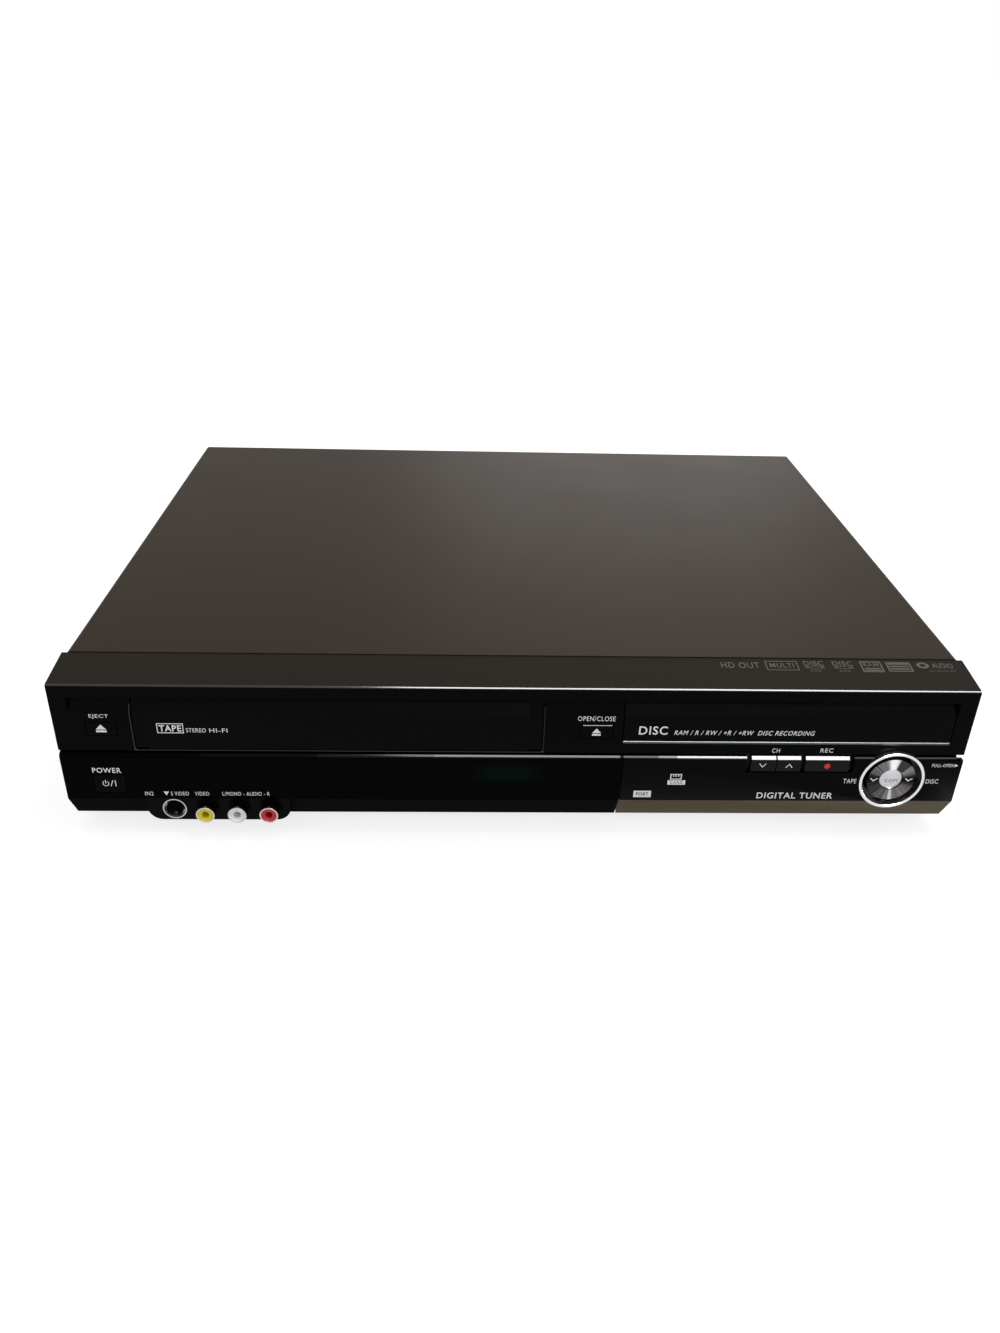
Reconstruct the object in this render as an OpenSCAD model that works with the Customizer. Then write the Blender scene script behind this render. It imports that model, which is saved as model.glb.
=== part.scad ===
// Disc recorder and video cassette player in one cabinet.
// Millimetres. X to the right, Y to the back, Z up; the origin is under the middle of the cabinet.

/* [Cabinet] */
// Width across the front moulding
overall_w = 430; // [429:1:432]
// Height from the table to the top sheet
overall_h = 86; // [85.5:0.5:87]
// Depth from the front sockets to the aerial connectors
overall_d = 349; // [347:1:352]
// Width of the top cover
cover_w = 426.5; // [425:0.5:427]
// Rear edge of the cover, behind the front face
cover_back = 333; // [332.5:0.5:334]
// Thickness of the folded steel
sheet_t = 1; // [0.8:0.1:1.2]
// Height of the feet
foot_h = 6.6; // [6.4:0.1:6.8]

/* [Front moulding] */
// Depth of the upper moulding
bezel_d = 25.1; // [24.5:0.1:26]
// Height of the upper moulding's face
bezel_face_h = 35.9; // [35.5:0.1:36.2]
// Wall of the front moulding
wall = 3; // [2.8:0.1:3.2]
// Rounding of the front top edge
edge_r = 1.2; // [0.8:0.1:1.6]
// Depth of the scooped recess under the top band
scoop_d = 4.6; // [4:0.1:5]
// How far the lower panel and door stand proud of the upper face
lower_proud = 1.2; // [1:0.1:1.4]
// Rounding along the top of the lower panel and door
lower_r = 2.4; // [2:0.1:2.4]

/* [Doors and tray] */
// Left edge of the tape opening
flap_x0 = -179.3; // [-180:0.1:-179]
// Right edge of the tape opening
flap_x1 = 11.4; // [11:0.1:12]
// Left edge of the disc tray opening
tray_x0 = 48.6; // [48:0.1:49]
// Right edge of the disc tray opening
tray_x1 = 206.6; // [206:0.1:207]
// Left edge of the flip-down door
door_x0 = 50.2; // [50:0.1:50.4]
// Centre of the dial from the middle of the cabinet
dial_x = 181.8; // [181:0.1:182.5]
// Height of the dial's centre
dial_z = 33.5; // [33.2:0.1:33.8]
// Outer radius of the bright ring round the dial
ring_r = 15.9; // [15.8:0.05:16.2]
// Radius of the dial
dial_r = 11.7; // [11.2:0.1:12.4]

/* [Tape deck] */
// Middle of the tape deck
deck_x = -84; // [-84.2:0.1:-83.8]
// Head drum radius
drum_r = 31; // [30.8:0.1:31]
// Lean of the head drum towards the cassette
drum_tilt = 6; // [5:0.5:6]
// Radius of the arcs that the loading posts follow
post_path_r = 50; // [49:0.5:51]

/* [Disc drive] */
// Middle of the disc drive
drive_x = 127.6; // [127.4:0.1:127.8]
// Disc centre behind the front face
disc_y = 82; // [81:0.5:83]
// Height of the disc tray's underside
tray_z = 57; // [56.8:0.1:57.2]

/* [Hidden] */
$fn = 48;

// Everything is laid out from the upper front face, which stands behind the front sockets.
rca_reach = 6.6;
face_y = rca_reach - overall_d / 2;
cover_rise = 3.2;
bezel_rise = 2.8;
edge_z = overall_h - cover_rise;
upper_bottom = edge_z - bezel_face_h;
scoop_top = edge_z - 6.8;
crease_z = edge_z - 14.4;
lower_top = upper_bottom - 0.8;
lower_crease = edge_z - 62.1;
chamfer_back = 6.9;
half_w = overall_w / 2;
lower_half_w = half_w - 0.1;
cover_front = bezel_d + 0.3;
panel_back = 1.5;
panel_t = lower_proud + panel_back;
gap = 0.3;
tray_gap = 0.5;

// Tape flap: hinge axis behind the top band, and the bottom edge of its panel
flap_axis_y = 6;
flap_axis_z = edge_z - 3.8;
flap_low = upper_bottom + 1.4;
flap_lip = upper_bottom + 0.9;

// Front of the dial, its rocking pin and the radius of its cap
dial_front = -1.4;
dial_pin_y = 6.5;
cap_r = 5.8;

// Door hinge axis
door_axis_y = 9.5;
door_axis_z = foot_h + 7.4;
ear_x = [58, 203];

// Buttons on the front
power_x = [-200.8, -186.2];
power_z = [24.1, 34.1];
eject_x = [-200.2, -186.4];
open_x = [28.9, 43.7];
small_z = [edge_z - 27.2, edge_z - 20];
ch_down_x = [111.8, 124];
ch_up_x = [124.3, 136.1];
rec_x = [138, 159.8];
notch_x = [109.6, 161.9];
notch_z = 37.4;
riser_x = [-206, 44];
riser_t = 1.2;

// Display behind the smoked panel, and the ports behind the door
display_x = [-58, 42];
display_z = [23.5, 43.5];
usb_x = [54.6, 67.4];
usb_z = [22.2, 27.8];
card_x = [63.6, 90.4];
card_z = [32, 35];
port_wall = 0.4;

// Front and rear sockets
socket_z = 14.5;
svideo_x = -165;
rca_x = [-149.4, -134.3, -119.2];
rear_out = 332;
rear_rca = [[0, 58], [0, 43], [0, 28], [20, 58], [20, 43], [20, 28], [45, 58], [45, 43], [45, 28]];
rear_svideo = [[-20, 58], [-20, 40]];
fan_x = -70;
fan_z = 44;
fan_half = 20;

// Screws through the cover, on the back and low on the sides
screw_x = [-195, 0, 195];
screw_y = [60, 300];
back_screw_z = overall_h - 5.5;
side_screw_z = 18;

// Rear connectors: optical, coaxial and high-definition outputs, aerials and mains inlet
digital_x = 70;
optical_z = 55.5;
coax_z = 30;
hd_x = 96.2;
hd_z = 27.8;
tuner_x = 180;
aerial_z = [55, 32];
inlet_x = -185;
inlet_z = 30;

// Levels inside
pan_z = foot_h;
board_z = 14;
board_top = board_z + 1.4;
deck_z = 20;
deck_t = 1.5;
deck_top = deck_z + deck_t;
deck_half = 94;
guide_in = 100.4;
slide_in = 98;
slide_out = 99.6;
reel_y = 106;
reel_gap = 46;
drum_y = 208;
capstan_x = deck_x + 62;
capstan_y = 150;
pinch_x = deck_x + 84;
pinch_y = 172;
pinch_len = 25.9;
pinch_rest = 181.7;
cam_x = deck_x - 73;
cam_y = 232;
cam_r = 16;
mode_y = cam_y - cam_r - 4.5;
post_rest = 17;
post_travel = 85;
holder_y0 = 39;
holder_y1 = 112;
holder_z = 47.2;
tray_t = 6;
tray_teeth = 40;
tray_y1 = 172;
tray_half = 65;
spindle_z = 52.6;
pivot_y = 168;
pivot_z = 49;
drive_half = 73.6;
optics_z = 51.4;
guide_x = 16;
guide_r = 1.5;
screw_cx = drive_x + 25;
bridge_z = 71.6;
gear_x = drive_x - 39;
gear_y = 22;
gear_r = 12.5;
gear_teeth = 20;
motor_x = gear_x - 22;
motor_y = 52;
floor_z = 44;

function middle(range) = (range[0] + range[1]) / 2;

// A range made longer at both ends, or shorter where d is negative
function grown(range, d) = [range[0] - d, range[1] + d];

// Span from near to far on side s of the middle x
function beside(x, s, near, far) = s < 0 ? [x - far, x - near] : [x + near, x + far];

module at_face() { translate([0, face_y, 0]) children(); }

// A section drawn as depth and height, run from x0 to x1
module along_x(x0, x1) { translate([x0, 0, 0]) rotate([90, 0, 90]) linear_extrude(x1 - x0) children(); }

// A section drawn as width and height, run from y0 to y1
module along_y(y0, y1) { translate([0, y1, 0]) rotate([90, 0, 0]) linear_extrude(y1 - y0) children(); }

module slab(x, y, z) {
    translate([x[0], y[0], z[0]]) cube([x[1] - x[0], y[1] - y[0], z[1] - z[0]]);
}

module rod_x(x, y, z, r) { translate([x[0], y, z]) rotate([0, 90, 0]) cylinder(h = x[1] - x[0], r = r); }

module rod_y(x, y, z, r) { translate([x, y[0], z]) rotate([-90, 0, 0]) cylinder(h = y[1] - y[0], r = r); }

module rod_z(x, y, z, r) { translate([x, y, z[0]]) cylinder(h = z[1] - z[0], r = r); }

module ring_z(x, y, z, r_out, r_in) {
    translate([x, y, z[0]]) linear_extrude(z[1] - z[0]) difference() {
        circle(r_out);
        circle(r_in);
    }
}

module slot2d(x, y, w, h) {
    r = min(w, h) / 2;
    translate([x, y]) {
        square([w - (w > h ? 2 * r : 0), h - (h > w ? 2 * r : 0)], center = true);
        for (s = [-1, 1]) translate(w > h ? [s * (w / 2 - r), 0] : [0, s * (h / 2 - r)]) circle(r);
    }
}

module round_rect(x, y, r) {
    translate([x[0] + r, y[0]]) square([x[1] - x[0] - 2 * r, y[1] - y[0]]);
    translate([x[0], y[0] + r]) square([x[1] - x[0], y[1] - y[0] - 2 * r]);
    for (cx = [x[0] + r, x[1] - r], cy = [y[0] + r, y[1] - r]) translate([cx, cy]) circle(r);
}

// Cutter that rounds the square corner at x, y whose solid lies towards sx, sy
module corner_cut(x, y, sx, sy, r) {
    translate([x + sx * r, y + sy * r]) difference() {
        translate([-sx * (r + 1) / 2, -sy * (r + 1) / 2]) square(r + 1, center = true);
        circle(r);
    }
}

// Toothed disc with straight flanks, slim enough to run free of its mate
module gear2d(teeth, pitch_r) {
    m = 2 * pitch_r / teeth;
    root = pitch_r - 1.15 * m;
    tip = pitch_r + 0.75 * m;
    foot_a = 360 / teeth * 0.28;
    tip_a = 360 / teeth * 0.1;
    polygon([for (i = [0:teeth - 1], c = [[root, -foot_a], [tip, -tip_a], [tip, tip_a], [root, foot_a]])
        c[0] * [cos(i * 360 / teeth + c[1]), sin(i * 360 / teeth + c[1])]]);
}

// ---------- Casing ----------

module cover_outline(half, top, r) {
    low = 9;
    difference() {
        translate([-half, low]) square([2 * half, top - low]);
        for (s = [-1, 1]) corner_cut(s * half, top, -s, -1, r);
    }
}

// One sheet folded over the top and both sides, with a lip down the back
module top_cover() color("#141415") at_face() {
    half = cover_w / 2;
    bend_r = 2.4;
    inner = half - sheet_t;
    vent_w = 3;
    vent_h = 16;
    vent_pitch = [7, 22];
    screw_hole = 1.7;
    difference() {
        along_y(cover_front, cover_back) cover_outline(half, overall_h, bend_r);
        along_y(cover_front - 1, cover_back - sheet_t)
            cover_outline(inner, overall_h - sheet_t, bend_r - sheet_t);
        slab([-inner, inner], [cover_front - 1, cover_back - sheet_t], [0, 20]);
        slab([-inner, inner], [cover_back - 5, cover_back + 5], [0, overall_h - 9]);
        along_x(-half - 1, half + 1) for (i = [0:11], j = [0:1])
            slot2d(238 + i * vent_pitch[0], 30 + j * vent_pitch[1], vent_w, vent_h);
        for (x = screw_x) rod_y(x, [cover_back - 3, cover_back + 1], back_screw_z, screw_hole);
        for (y = screw_y) rod_x([-half - 1, half + 1], y, side_screw_z, screw_hole);
    }
}

module chassis_pan() color("#8d9093") at_face() {
    half = cover_w / 2 - sheet_t - 0.4;
    front = 27.5;
    back = rear_out - sheet_t;
    top = pan_z + sheet_t;
    rim = 24;
    bead_h = 1.2;
    bead_w = 6;
    difference() {
        slab([-half, half], [front, back], [pan_z, pan_z + sheet_t]);
        translate([0, 0, pan_z - 1]) linear_extrude(sheet_t + 2) {
            for (i = [0:9], j = [0:2]) slot2d(-196 + i * 10, 268 + j * 20, 3, 15);
            for (i = [0:7], j = [0:1]) slot2d(110 + i * 9, 226 + j * 22, 3, 16);
        }
    }
    for (s = [-1, 1]) slab(beside(0, s, half - sheet_t, half), [front, back], [top, rim]);
    slab([sheet_t - half, half - sheet_t], [front, front + sheet_t], [top, rim - 6]);
    // pressed stiffening beads
    for (x = [-60, 20, 100]) translate([0, 0, top]) linear_extrude(bead_h) slot2d(x, 215, bead_w, 60);
    for (y = [70, 185]) translate([0, 0, top]) linear_extrude(bead_h) slot2d(115, y, 140, bead_w);
    // posts under the deck plate, the disc drive and the circuit boards
    for (x = [-172, 4], y = [70, 240]) rod_z(x, y, [top, deck_z], 4);
    for (s = [-1, 1], y = [80, 180]) rod_z(drive_x + s * 70, y, [top, floor_z], 3.4);
    for (x = [-200, -100, -80, 200], y = [262, 322]) rod_z(x, y, [top, board_z], 2.5);
}

module vent_sector(r0, r1) {
    difference() {
        circle(r1);
        circle(r0);
        for (a = [0, 60, 120]) rotate(a) square([2.4, 3 * r1], center = true);
    }
}

module rear_panel() color("#3a3b3d") at_face() {
    half = cover_w / 2 - sheet_t - 0.4;
    top = overall_h - sheet_t - 0.3;
    difference() {
        slab([-half, half], [rear_out - sheet_t, rear_out], [pan_z, top]);
        along_y(rear_out - 3, rear_out + 1) {
            translate([fan_x, fan_z]) {
                vent_sector(4, 8);
                vent_sector(9.6, 13);
                vent_sector(14.6, 17.6);
            }
            for (p = rear_rca) translate(p) circle(5);
            for (p = rear_svideo) translate(p) circle(6.2);
            for (z = aerial_z) translate([tuner_x, z]) circle(5.4);
            round_rect([digital_x - 7, digital_x + 7], [optical_z - 5.5, optical_z + 5.5], 0.6);
            round_rect([hd_x - 8.2, hd_x + 8.2], [hd_z - 3.4, hd_z + 3.4], 1);
            translate([digital_x, coax_z]) circle(5);
            round_rect([inlet_x - 12.2, inlet_x + 12.2], [inlet_z - 9, inlet_z + 9], 1.5);
            for (i = [0:8]) slot2d(-190 + i * 8, 62, 3, 18);
            for (x = [-205, -40, 140, 206]) translate([x, 74]) circle(1.4);
        }
    }
}

// Moulded feet with a stepped skirt and a recessed pad
module feet() color("#1b1b1c") at_face() {
    r = 17;
    for (x = [-168, 168], y = [48, 288]) translate([x, y, 0]) rotate_extrude()
        polygon([[0, 1], [11, 1], [11, 0], [r - 2.5, 0], [r - 1.5, 1], [r - 1, foot_h - 2], [r, foot_h - 1.6],
            [r, foot_h], [0, foot_h]]);
}

module screw_head(r, h) {
    difference() {
        cylinder(h = h, r1 = r, r2 = r * 0.8);
        for (a = [0, 90]) rotate(a) translate([0, 0, h]) cube([r * 1.1, r * 0.28, h], center = true);
    }
}

module cover_screws() color("#2a2a2b") at_face() {
    half = cover_w / 2;
    for (x = screw_x) translate([x, cover_back, back_screw_z]) rotate([-90, 0, 0]) screw_head(3, 1.5);
    for (s = [-1, 1], y = screw_y) translate([s * half, y, side_screw_z]) rotate([0, s * 90, 0])
        screw_head(3, 1.4);
}

// ---------- Front moulding ----------

module bezel_outline() {
    difference() {
        polygon([[0, upper_bottom], [0, edge_z], [edge_r, edge_z], [bezel_d, edge_z + bezel_rise],
            [bezel_d, upper_bottom]]);
        corner_cut(0, upper_bottom, 1, 1, 0.8);
        corner_cut(0, edge_z, 1, -1, edge_r);
    }
}

module bezel_hollow() {
    deep = scoop_d + wall - 0.5;
    low = upper_bottom + 2;
    polygon([[wall, low], [wall, crease_z - 4], [deep, crease_z + 2], [deep, edge_z - wall + 0.4],
        [bezel_d + 1, edge_z + bezel_rise - 2.2], [bezel_d + 1, low]]);
}

// Line of the slanted facet that leads the scoop back to the face
module scoop_section() {
    polygon([[-1, crease_z], [0, crease_z], [scoop_d, scoop_top], [-1, scoop_top]]);
}

module chamfer_section() {
    low = foot_h;
    polygon([[-lower_proud, lower_crease - 0.2], [chamfer_back, low], [bezel_d, low], [bezel_d, low + 1.5],
        [chamfer_back + 0.9, low + 1.5], [wall + 0.4, lower_crease - 6], [wall + 0.4, lower_crease - 0.2]]);
}

module lower_end_section() {
    polygon([[panel_back, upper_bottom], [panel_back, lower_crease - 0.2], [-lower_proud, lower_crease - 0.2],
        [chamfer_back, foot_h], [bezel_d, foot_h], [bezel_d, upper_bottom]]);
}

module boss_outline(grow) {
    r = 7 + grow;
    x0 = -178 - grow;
    x1 = -109.5 + grow;
    low = 8 - grow;
    difference() {
        translate([x0, low]) square([x1 - x0, lower_crease + grow - low]);
        corner_cut(x0, low, 1, 1, r);
        corner_cut(x1, low, -1, 1, r);
    }
}

// Ears that carry the door's pins
module hinge_ear(x) {
    along_x(x, x + 2.5) difference() {
        union() {
            translate([door_axis_y, door_axis_z]) circle(2.7);
            polygon([[door_axis_y - 2, door_axis_z + 1.8], [door_axis_y + 2, door_axis_z + 0.8],
                [18.2, door_axis_z + 0.8], [18.2, foot_h + 1.2], [20, foot_h + 1.2], [20, door_axis_z + 6],
                [door_axis_y + 1, door_axis_z + 6]]);
        }
        translate([door_axis_y, door_axis_z]) circle(1.28);
    }
}

// The one big moulding behind everything on the front
module front_bezel() color("#1a1a1c") at_face() {
    mid_x = door_x0 - 0.6;
    pin_block = 4.7;
    tray_low = upper_bottom + 5.8;
    difference() {
        union() {
            difference() {
                along_x(-half_w, half_w) bezel_outline();
                along_x(-half_w + wall, half_w - wall) bezel_hollow();
            }
            // hinge blocks for the tape flap
            for (x = [[flap_x0 - pin_block, flap_x0], [flap_x1, flap_x1 + pin_block]])
                slab(x, [wall, 10], [scoop_top - 1, edge_z - 1]);
            // thick sill under the tape opening
            slab([flap_x0 - 2, flap_x1 + 2], [3.6, bezel_d], [upper_bottom - 1.7, upper_bottom + 0.2]);
            // backing of the lower panel, with its ends and the chamfer below it
            slab([-lower_half_w, mid_x], [panel_back, 3.6], [lower_crease - 0.2, upper_bottom + 0.1]);
            along_x(-lower_half_w, mid_x) chamfer_section();
            along_x(-lower_half_w, -lower_half_w + 2) lower_end_section();
            along_x(mid_x - 1.8, mid_x) lower_end_section();
            // end wall and floor behind the door
            along_x(lower_half_w - 1.6, lower_half_w)
                polygon([[6, upper_bottom + 0.1], [6, notch_z], [3, notch_z - 4], [3, door_axis_z + 10.5],
                    [18.2, door_axis_z + 2], [18.2, foot_h], [bezel_d, foot_h], [bezel_d, upper_bottom + 0.1]]);
            slab([mid_x, lower_half_w], [18.2, bezel_d], [foot_h, foot_h + 1.5]);
            for (x = ear_x) hinge_ear(x);
        }
        // scooped recess, then the openings through it
        along_x(-207, tray_x1 - 0.6) scoop_section();
        along_y(-1, bezel_d + 1) {
            round_rect([flap_x0, flap_x1], [flap_lip, scoop_top], 1.6);
            translate([flap_x0, crease_z]) square([flap_x1 - flap_x0, scoop_top - crease_z]);
            translate([tray_x0, tray_low]) square([tray_x1 - tray_x0, scoop_top - tray_low]);
        }
        slab([flap_x0, flap_x1], [1.2, bezel_d + 1], [upper_bottom + 0.4, crease_z]);
        slab([flap_x0, flap_x1], [wall + 0.2, bezel_d + 1], [crease_z, edge_z - 1.2]);
        // notches in the floor for the front board's risers
        for (x = riser_x)
            slab([x - 0.5, x + riser_t + 0.5], [21.9, bezel_d + 1], [upper_bottom - 2, upper_bottom + 2.5]);
        for (x = [[flap_x0 - pin_block - 1, flap_x0 + 1], [flap_x1 - 1, flap_x1 + pin_block + 1]])
            rod_x(x, flap_axis_y, flap_axis_z, 1.28);
        // holes for the eject and open buttons
        for (x = [eject_x, open_x]) slab(grown(x, gap), [-1, 12], grown(small_z, gap));
        // power button, display window and sockets
        slab(grown(power_x, 0.8), [0, 8], grown(power_z, 0.8));
        slab(display_x, [1, 5], display_z);
        along_y(-5, bezel_d + 1) boss_outline(0.1);
        // arc over the dial's ring
        rod_y(dial_x, [-1, 18.2], dial_z, ring_r + 0.9);
    }
}

module panel_section(low) {
    difference() {
        translate([-lower_proud, low]) square([panel_t, lower_top - low]);
        corner_cut(-lower_proud, lower_top, 1, -1, lower_r);
    }
}

// Smoked acrylic strip over the display
module lower_panel() color("#08080a") at_face() {
    difference() {
        along_x(-lower_half_w, door_x0 - 0.5) panel_section(lower_crease);
        slab(grown(power_x, gap), [-3, 3], grown(power_z, gap));
    }
}

module display_module() color("#1d3a36") at_face() {
    difference() {
        slab(grown(display_x, -6), [5.4, 12], grown(display_z, -1));
        slab(grown(display_x, -8), [5, 5.9], grown(display_z, -2.5));
    }
    slab(display_x, [12, 13.2], [21, 44]);
    // locating posts back to the front board
    for (x = grown(display_x, -3)) rod_y(x, [13.2, 22.4], 32, 2);
}

module tact_switch(x, y, z) {
    slab([x - 3, x + 3], [y - 3.2, y], [z - 3, z + 3]);
    rod_y(x, [y - 3.8, y - 3.2], z, 1.6);
}

module front_board() color("#6b4a25") at_face() {
    board_y = 22.4;
    riser_y = 14.6;
    slab([-206, 46], [board_y, board_y + 1.4], [10, 45]);
    difference() {
        slab([53, 210], [board_y, board_y + 1.4], [10, 45]);
        slab(grown(usb_x, 0.4), [board_y - 1, board_y + 2], grown(usb_z, 0.4));
        slab(grown(card_x, 0.4), [board_y - 1, board_y + 2], grown(card_z, 0.4));
    }
    slab([-207, -184], [riser_y, riser_y + 1.4], [50, 74]);
    slab([20, 46], [riser_y, riser_y + 1.4], [50, 74]);
    for (x = riser_x) {
        slab([x, x + riser_t], [riser_y + 1.4, board_y + 1.4], [50, 60]);
        slab([x, x + riser_t], [board_y, board_y + 1.4], [44.8, 60]);
    }
    tact_switch(middle(power_x), board_y, middle(power_z));
    for (x = [eject_x, open_x]) tact_switch(middle(x), riser_y, middle(small_z));
    for (x = [ch_down_x, ch_up_x, rec_x]) tact_switch(middle(x), board_y, 41.5);
    slab([-30, 10], [board_y + 1.4, board_y + 3.4], [16, 36]);
}

// ---------- Sockets ----------

module jack_holder() color("#0b0b0d") at_face() {
    difference() {
        union() {
            along_y(-lower_proud, 22) boss_outline(0);
            for (x = rca_x) rod_y(x, [-lower_proud - 1.4, 0], socket_z, 5.3);
        }
        slab([-175, -112], [1.2, 23], [10, lower_crease + 1]);
        rod_y(svideo_x, [-3, 9], socket_z, 5.7);
        for (x = rca_x) rod_y(x, [-4, 2], socket_z, 4.5);
    }
    // socket bodies behind the face, and the small board that carries them
    for (x = rca_x) difference() {
        slab([x - 5, x + 5], [1.2, 17], [10, 19.5]);
        rod_y(x, [0, 8], socket_z, 4.5);
    }
    slab([-174.5, -112.5], [17, 18.4], [10, 20]);
}

module svideo_socket(x, z, depth) {
    // thin shield with the insulating core inside it
    translate([x, 0, z]) rotate([-90, 0, 0]) {
        difference() {
            cylinder(h = depth, r = 5.7);
            translate([0, 0, -1]) cylinder(h = 5, r = 5.2);
        }
        difference() {
            translate([0, 0, 0.5]) cylinder(h = depth - 0.5, r = 4.1);
            for (p = [[-1.7, -1.4], [1.7, -1.4], [-2.4, 1], [2.4, 1]])
                translate([p[0], p[1], -1]) cylinder(h = 4, r = 0.5);
            translate([-0.9, 2, -1]) cube([1.8, 3, 4]);
        }
    }
}

module svideo_sockets() color("#c9cbcd") at_face() {
    translate([0, -lower_proud - 0.2, 0]) svideo_socket(svideo_x, socket_z, 10);
    for (p = rear_svideo) translate([0, rear_out + 1, 0]) rotate([0, 0, 180]) translate([-2 * p[0], 0, 0])
        translate([p[0], 0, 0]) svideo_socket(0, p[1], 9);
}

module rca_sleeve(y0, y1) {
    translate([0, y0, 0]) rotate([-90, 0, 0]) difference() {
        cylinder(h = y1 - y0, r = 4.45);
        translate([0, 0, -1]) cylinder(h = y1 - y0 + 2, r = 3.75);
    }
}

module rca_sleeves() color("#d2d3d5") at_face() {
    for (x = rca_x) translate([x, 0, socket_z]) rca_sleeve(-rca_reach, 7);
    for (p = rear_rca) translate([p[0], 0, p[1]]) rca_sleeve(rear_out - 6, rear_out + 8);
}

module rca_insert(y0, y1, recess) {
    translate([0, y0, 0]) rotate([-90, 0, 0]) difference() {
        cylinder(h = y1 - y0, r = 3.75);
        translate([0, 0, -1]) cylinder(h = recess, r = 1.75);
    }
}

module jack_inserts() color("#e0c62a") at_face() {
    for (x = rca_x) translate([x, 0, socket_z]) rca_insert(0.5 - rca_reach, 7, 10);
    for (p = rear_rca) translate([p[0], 2 * rear_out + 2, p[1]]) mirror([0, 1, 0])
        rca_insert(rear_out - 5.5, rear_out + 8, 10);
}

// Housings behind the rear panel and the metal shells that come through it
module rear_jack_block() color("#222224") at_face() {
    for (x = [0, 20, 45], z = [28, 43, 58]) difference() {
        slab([x - 6, x + 6], [rear_out - 15, rear_out - sheet_t], [z - 7, z + 7]);
        rod_y(x, [rear_out - 6.2, rear_out + 1], z, 4.6);
    }
    for (p = rear_svideo) difference() {
        slab([p[0] - 7, p[0] + 7], [rear_out - 15, rear_out - sheet_t], [p[1] - 7.5, p[1] + 7.5]);
        rod_y(p[0], [rear_out - 9, rear_out + 1], p[1], 5.9);
    }
    // posts that hold the block on the main board
    for (x = [-20, 0, 20, 45, digital_x])
        slab([x - 5, x + 5], [rear_out - 14, rear_out - 10], [board_top, 33]);
    // optical output with its shutter
    slab([digital_x - 6.8, digital_x + 6.8], [rear_out - 15, rear_out + 1.4],
        [optical_z - 5.3, optical_z + 5.3]);
    slab([digital_x - 5, digital_x + 5], [rear_out - 14, rear_out - 10], [33, optical_z - 5.1]);
    // high-definition output shell with its tongue
    difference() {
        slab([hd_x - 7.9, hd_x + 7.9], [rear_out - 12, rear_out + 0.8], [hd_z - 3.2, hd_z + 3.2]);
        slab([hd_x - 7.3, hd_x + 7.3], [rear_out - 10, rear_out + 2], [hd_z - 2.6, hd_z + 2.6]);
    }
    slab([hd_x - 6.2, hd_x + 6.2], [rear_out - 11, rear_out - 1], [hd_z - 0.6, hd_z + 0.6]);
    slab([hd_x - 4.2, hd_x + 3.8], [rear_out - 12, rear_out - 8], [board_top, hd_z - 3]);
    // digital coaxial output
    rod_y(digital_x, [rear_out - 15, rear_out + 7], coax_z, 4.4);
}

// Two-pin mains inlet
module ac_inlet() color("#151516") at_face() {
    x = inlet_x;
    z = inlet_z;
    difference() {
        union() {
            slab([x - 12, x + 12], [rear_out - 17, rear_out + 0.6], [z - 8.8, z + 8.8]);
            slab([x - 14, x + 14], [rear_out, rear_out + 1.4], [z - 10.5, z + 10.5]);
        }
        along_y(rear_out - 13, rear_out + 3) round_rect([x - 7.2, x + 7.2], [z - 4.1, z + 4.1], 4);
    }
    for (s = [-1, 1]) rod_y(x + s * 4.3, [rear_out - 14, rear_out - 1], z, 1.2);
    slab([x - 12, x + 12], [rear_out - 17, rear_out - 4], [15.6, z - 8.6]);
}

// ---------- Behind the door ----------

module sub_panel() color("#131315") at_face() {
    y0 = 18;
    y1 = 20;
    difference() {
        union() {
            slab([door_x0 - 0.4, lower_half_w - 1.8], [y0, y1], [foot_h + 1.7, upper_bottom - 0.2]);
            // box round the buttons and tube round the dial
            slab(grown(notch_x, -0.4), [3.2, y0], [notch_z - 1, upper_bottom - 0.4]);
            difference() {
                rod_y(dial_x, [3.6, y0], dial_z, 13.6);
                rod_y(dial_x, [3, y0 + 1], dial_z, 12.6);
            }
            // bearings for the dial's rocking pin
            for (z = [dial_z - 13, dial_z + 7])
                slab([dial_x - 2, dial_x + 2], [dial_pin_y - 2, dial_pin_y + 2], [z, z + 6]);
        }
        rod_z(dial_x, dial_pin_y, [dial_z - 10, dial_z + 10], 1.06);
        for (x = [ch_down_x, ch_up_x, rec_x]) {
            cx = middle(x);
            slab(grown(x, -1), [2, y1 + 1], [notch_z + 2, lower_top - 2]);
            slab([cx - 3.3, cx + 3.3], [y0 - 0.5, y1 + 1], [notch_z + 0.8, lower_top - 1.3]);
        }
        // slots round the ears that carry the door
        for (x = ear_x) slab([x - 0.3, x + 2.8], [y0 - 1, y1 + 1], [foot_h, door_axis_z + 6.3]);
        rod_y(dial_x, [y0 - 1, y1 + 1], dial_z, 7);
        slab(grown(usb_x, 0.2), [y0 - 1, y1 + 1], grown(usb_z, 0.2));
        slab(grown(card_x, 0.2), [y0 - 1, y1 + 1], grown(card_z, 0.2));
    }
}

module front_ports() color("#b9bbbd") at_face() {
    y0 = 17.4;
    // USB shell and tongue
    difference() {
        slab(usb_x, [y0, 32], usb_z);
        slab(grown(usb_x, -port_wall), [y0 - 1, 30], grown(usb_z, -port_wall));
    }
    slab(grown(usb_x, -1), [y0 + 1, 31], [usb_z[1] - 2.2, usb_z[1] - 0.8]);
    // memory card slot
    difference() {
        slab(card_x, [y0, 36], card_z);
        slab(grown(card_x, -1.2), [y0 - 1, 34], grown(card_z, -port_wall));
    }
}

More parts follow.
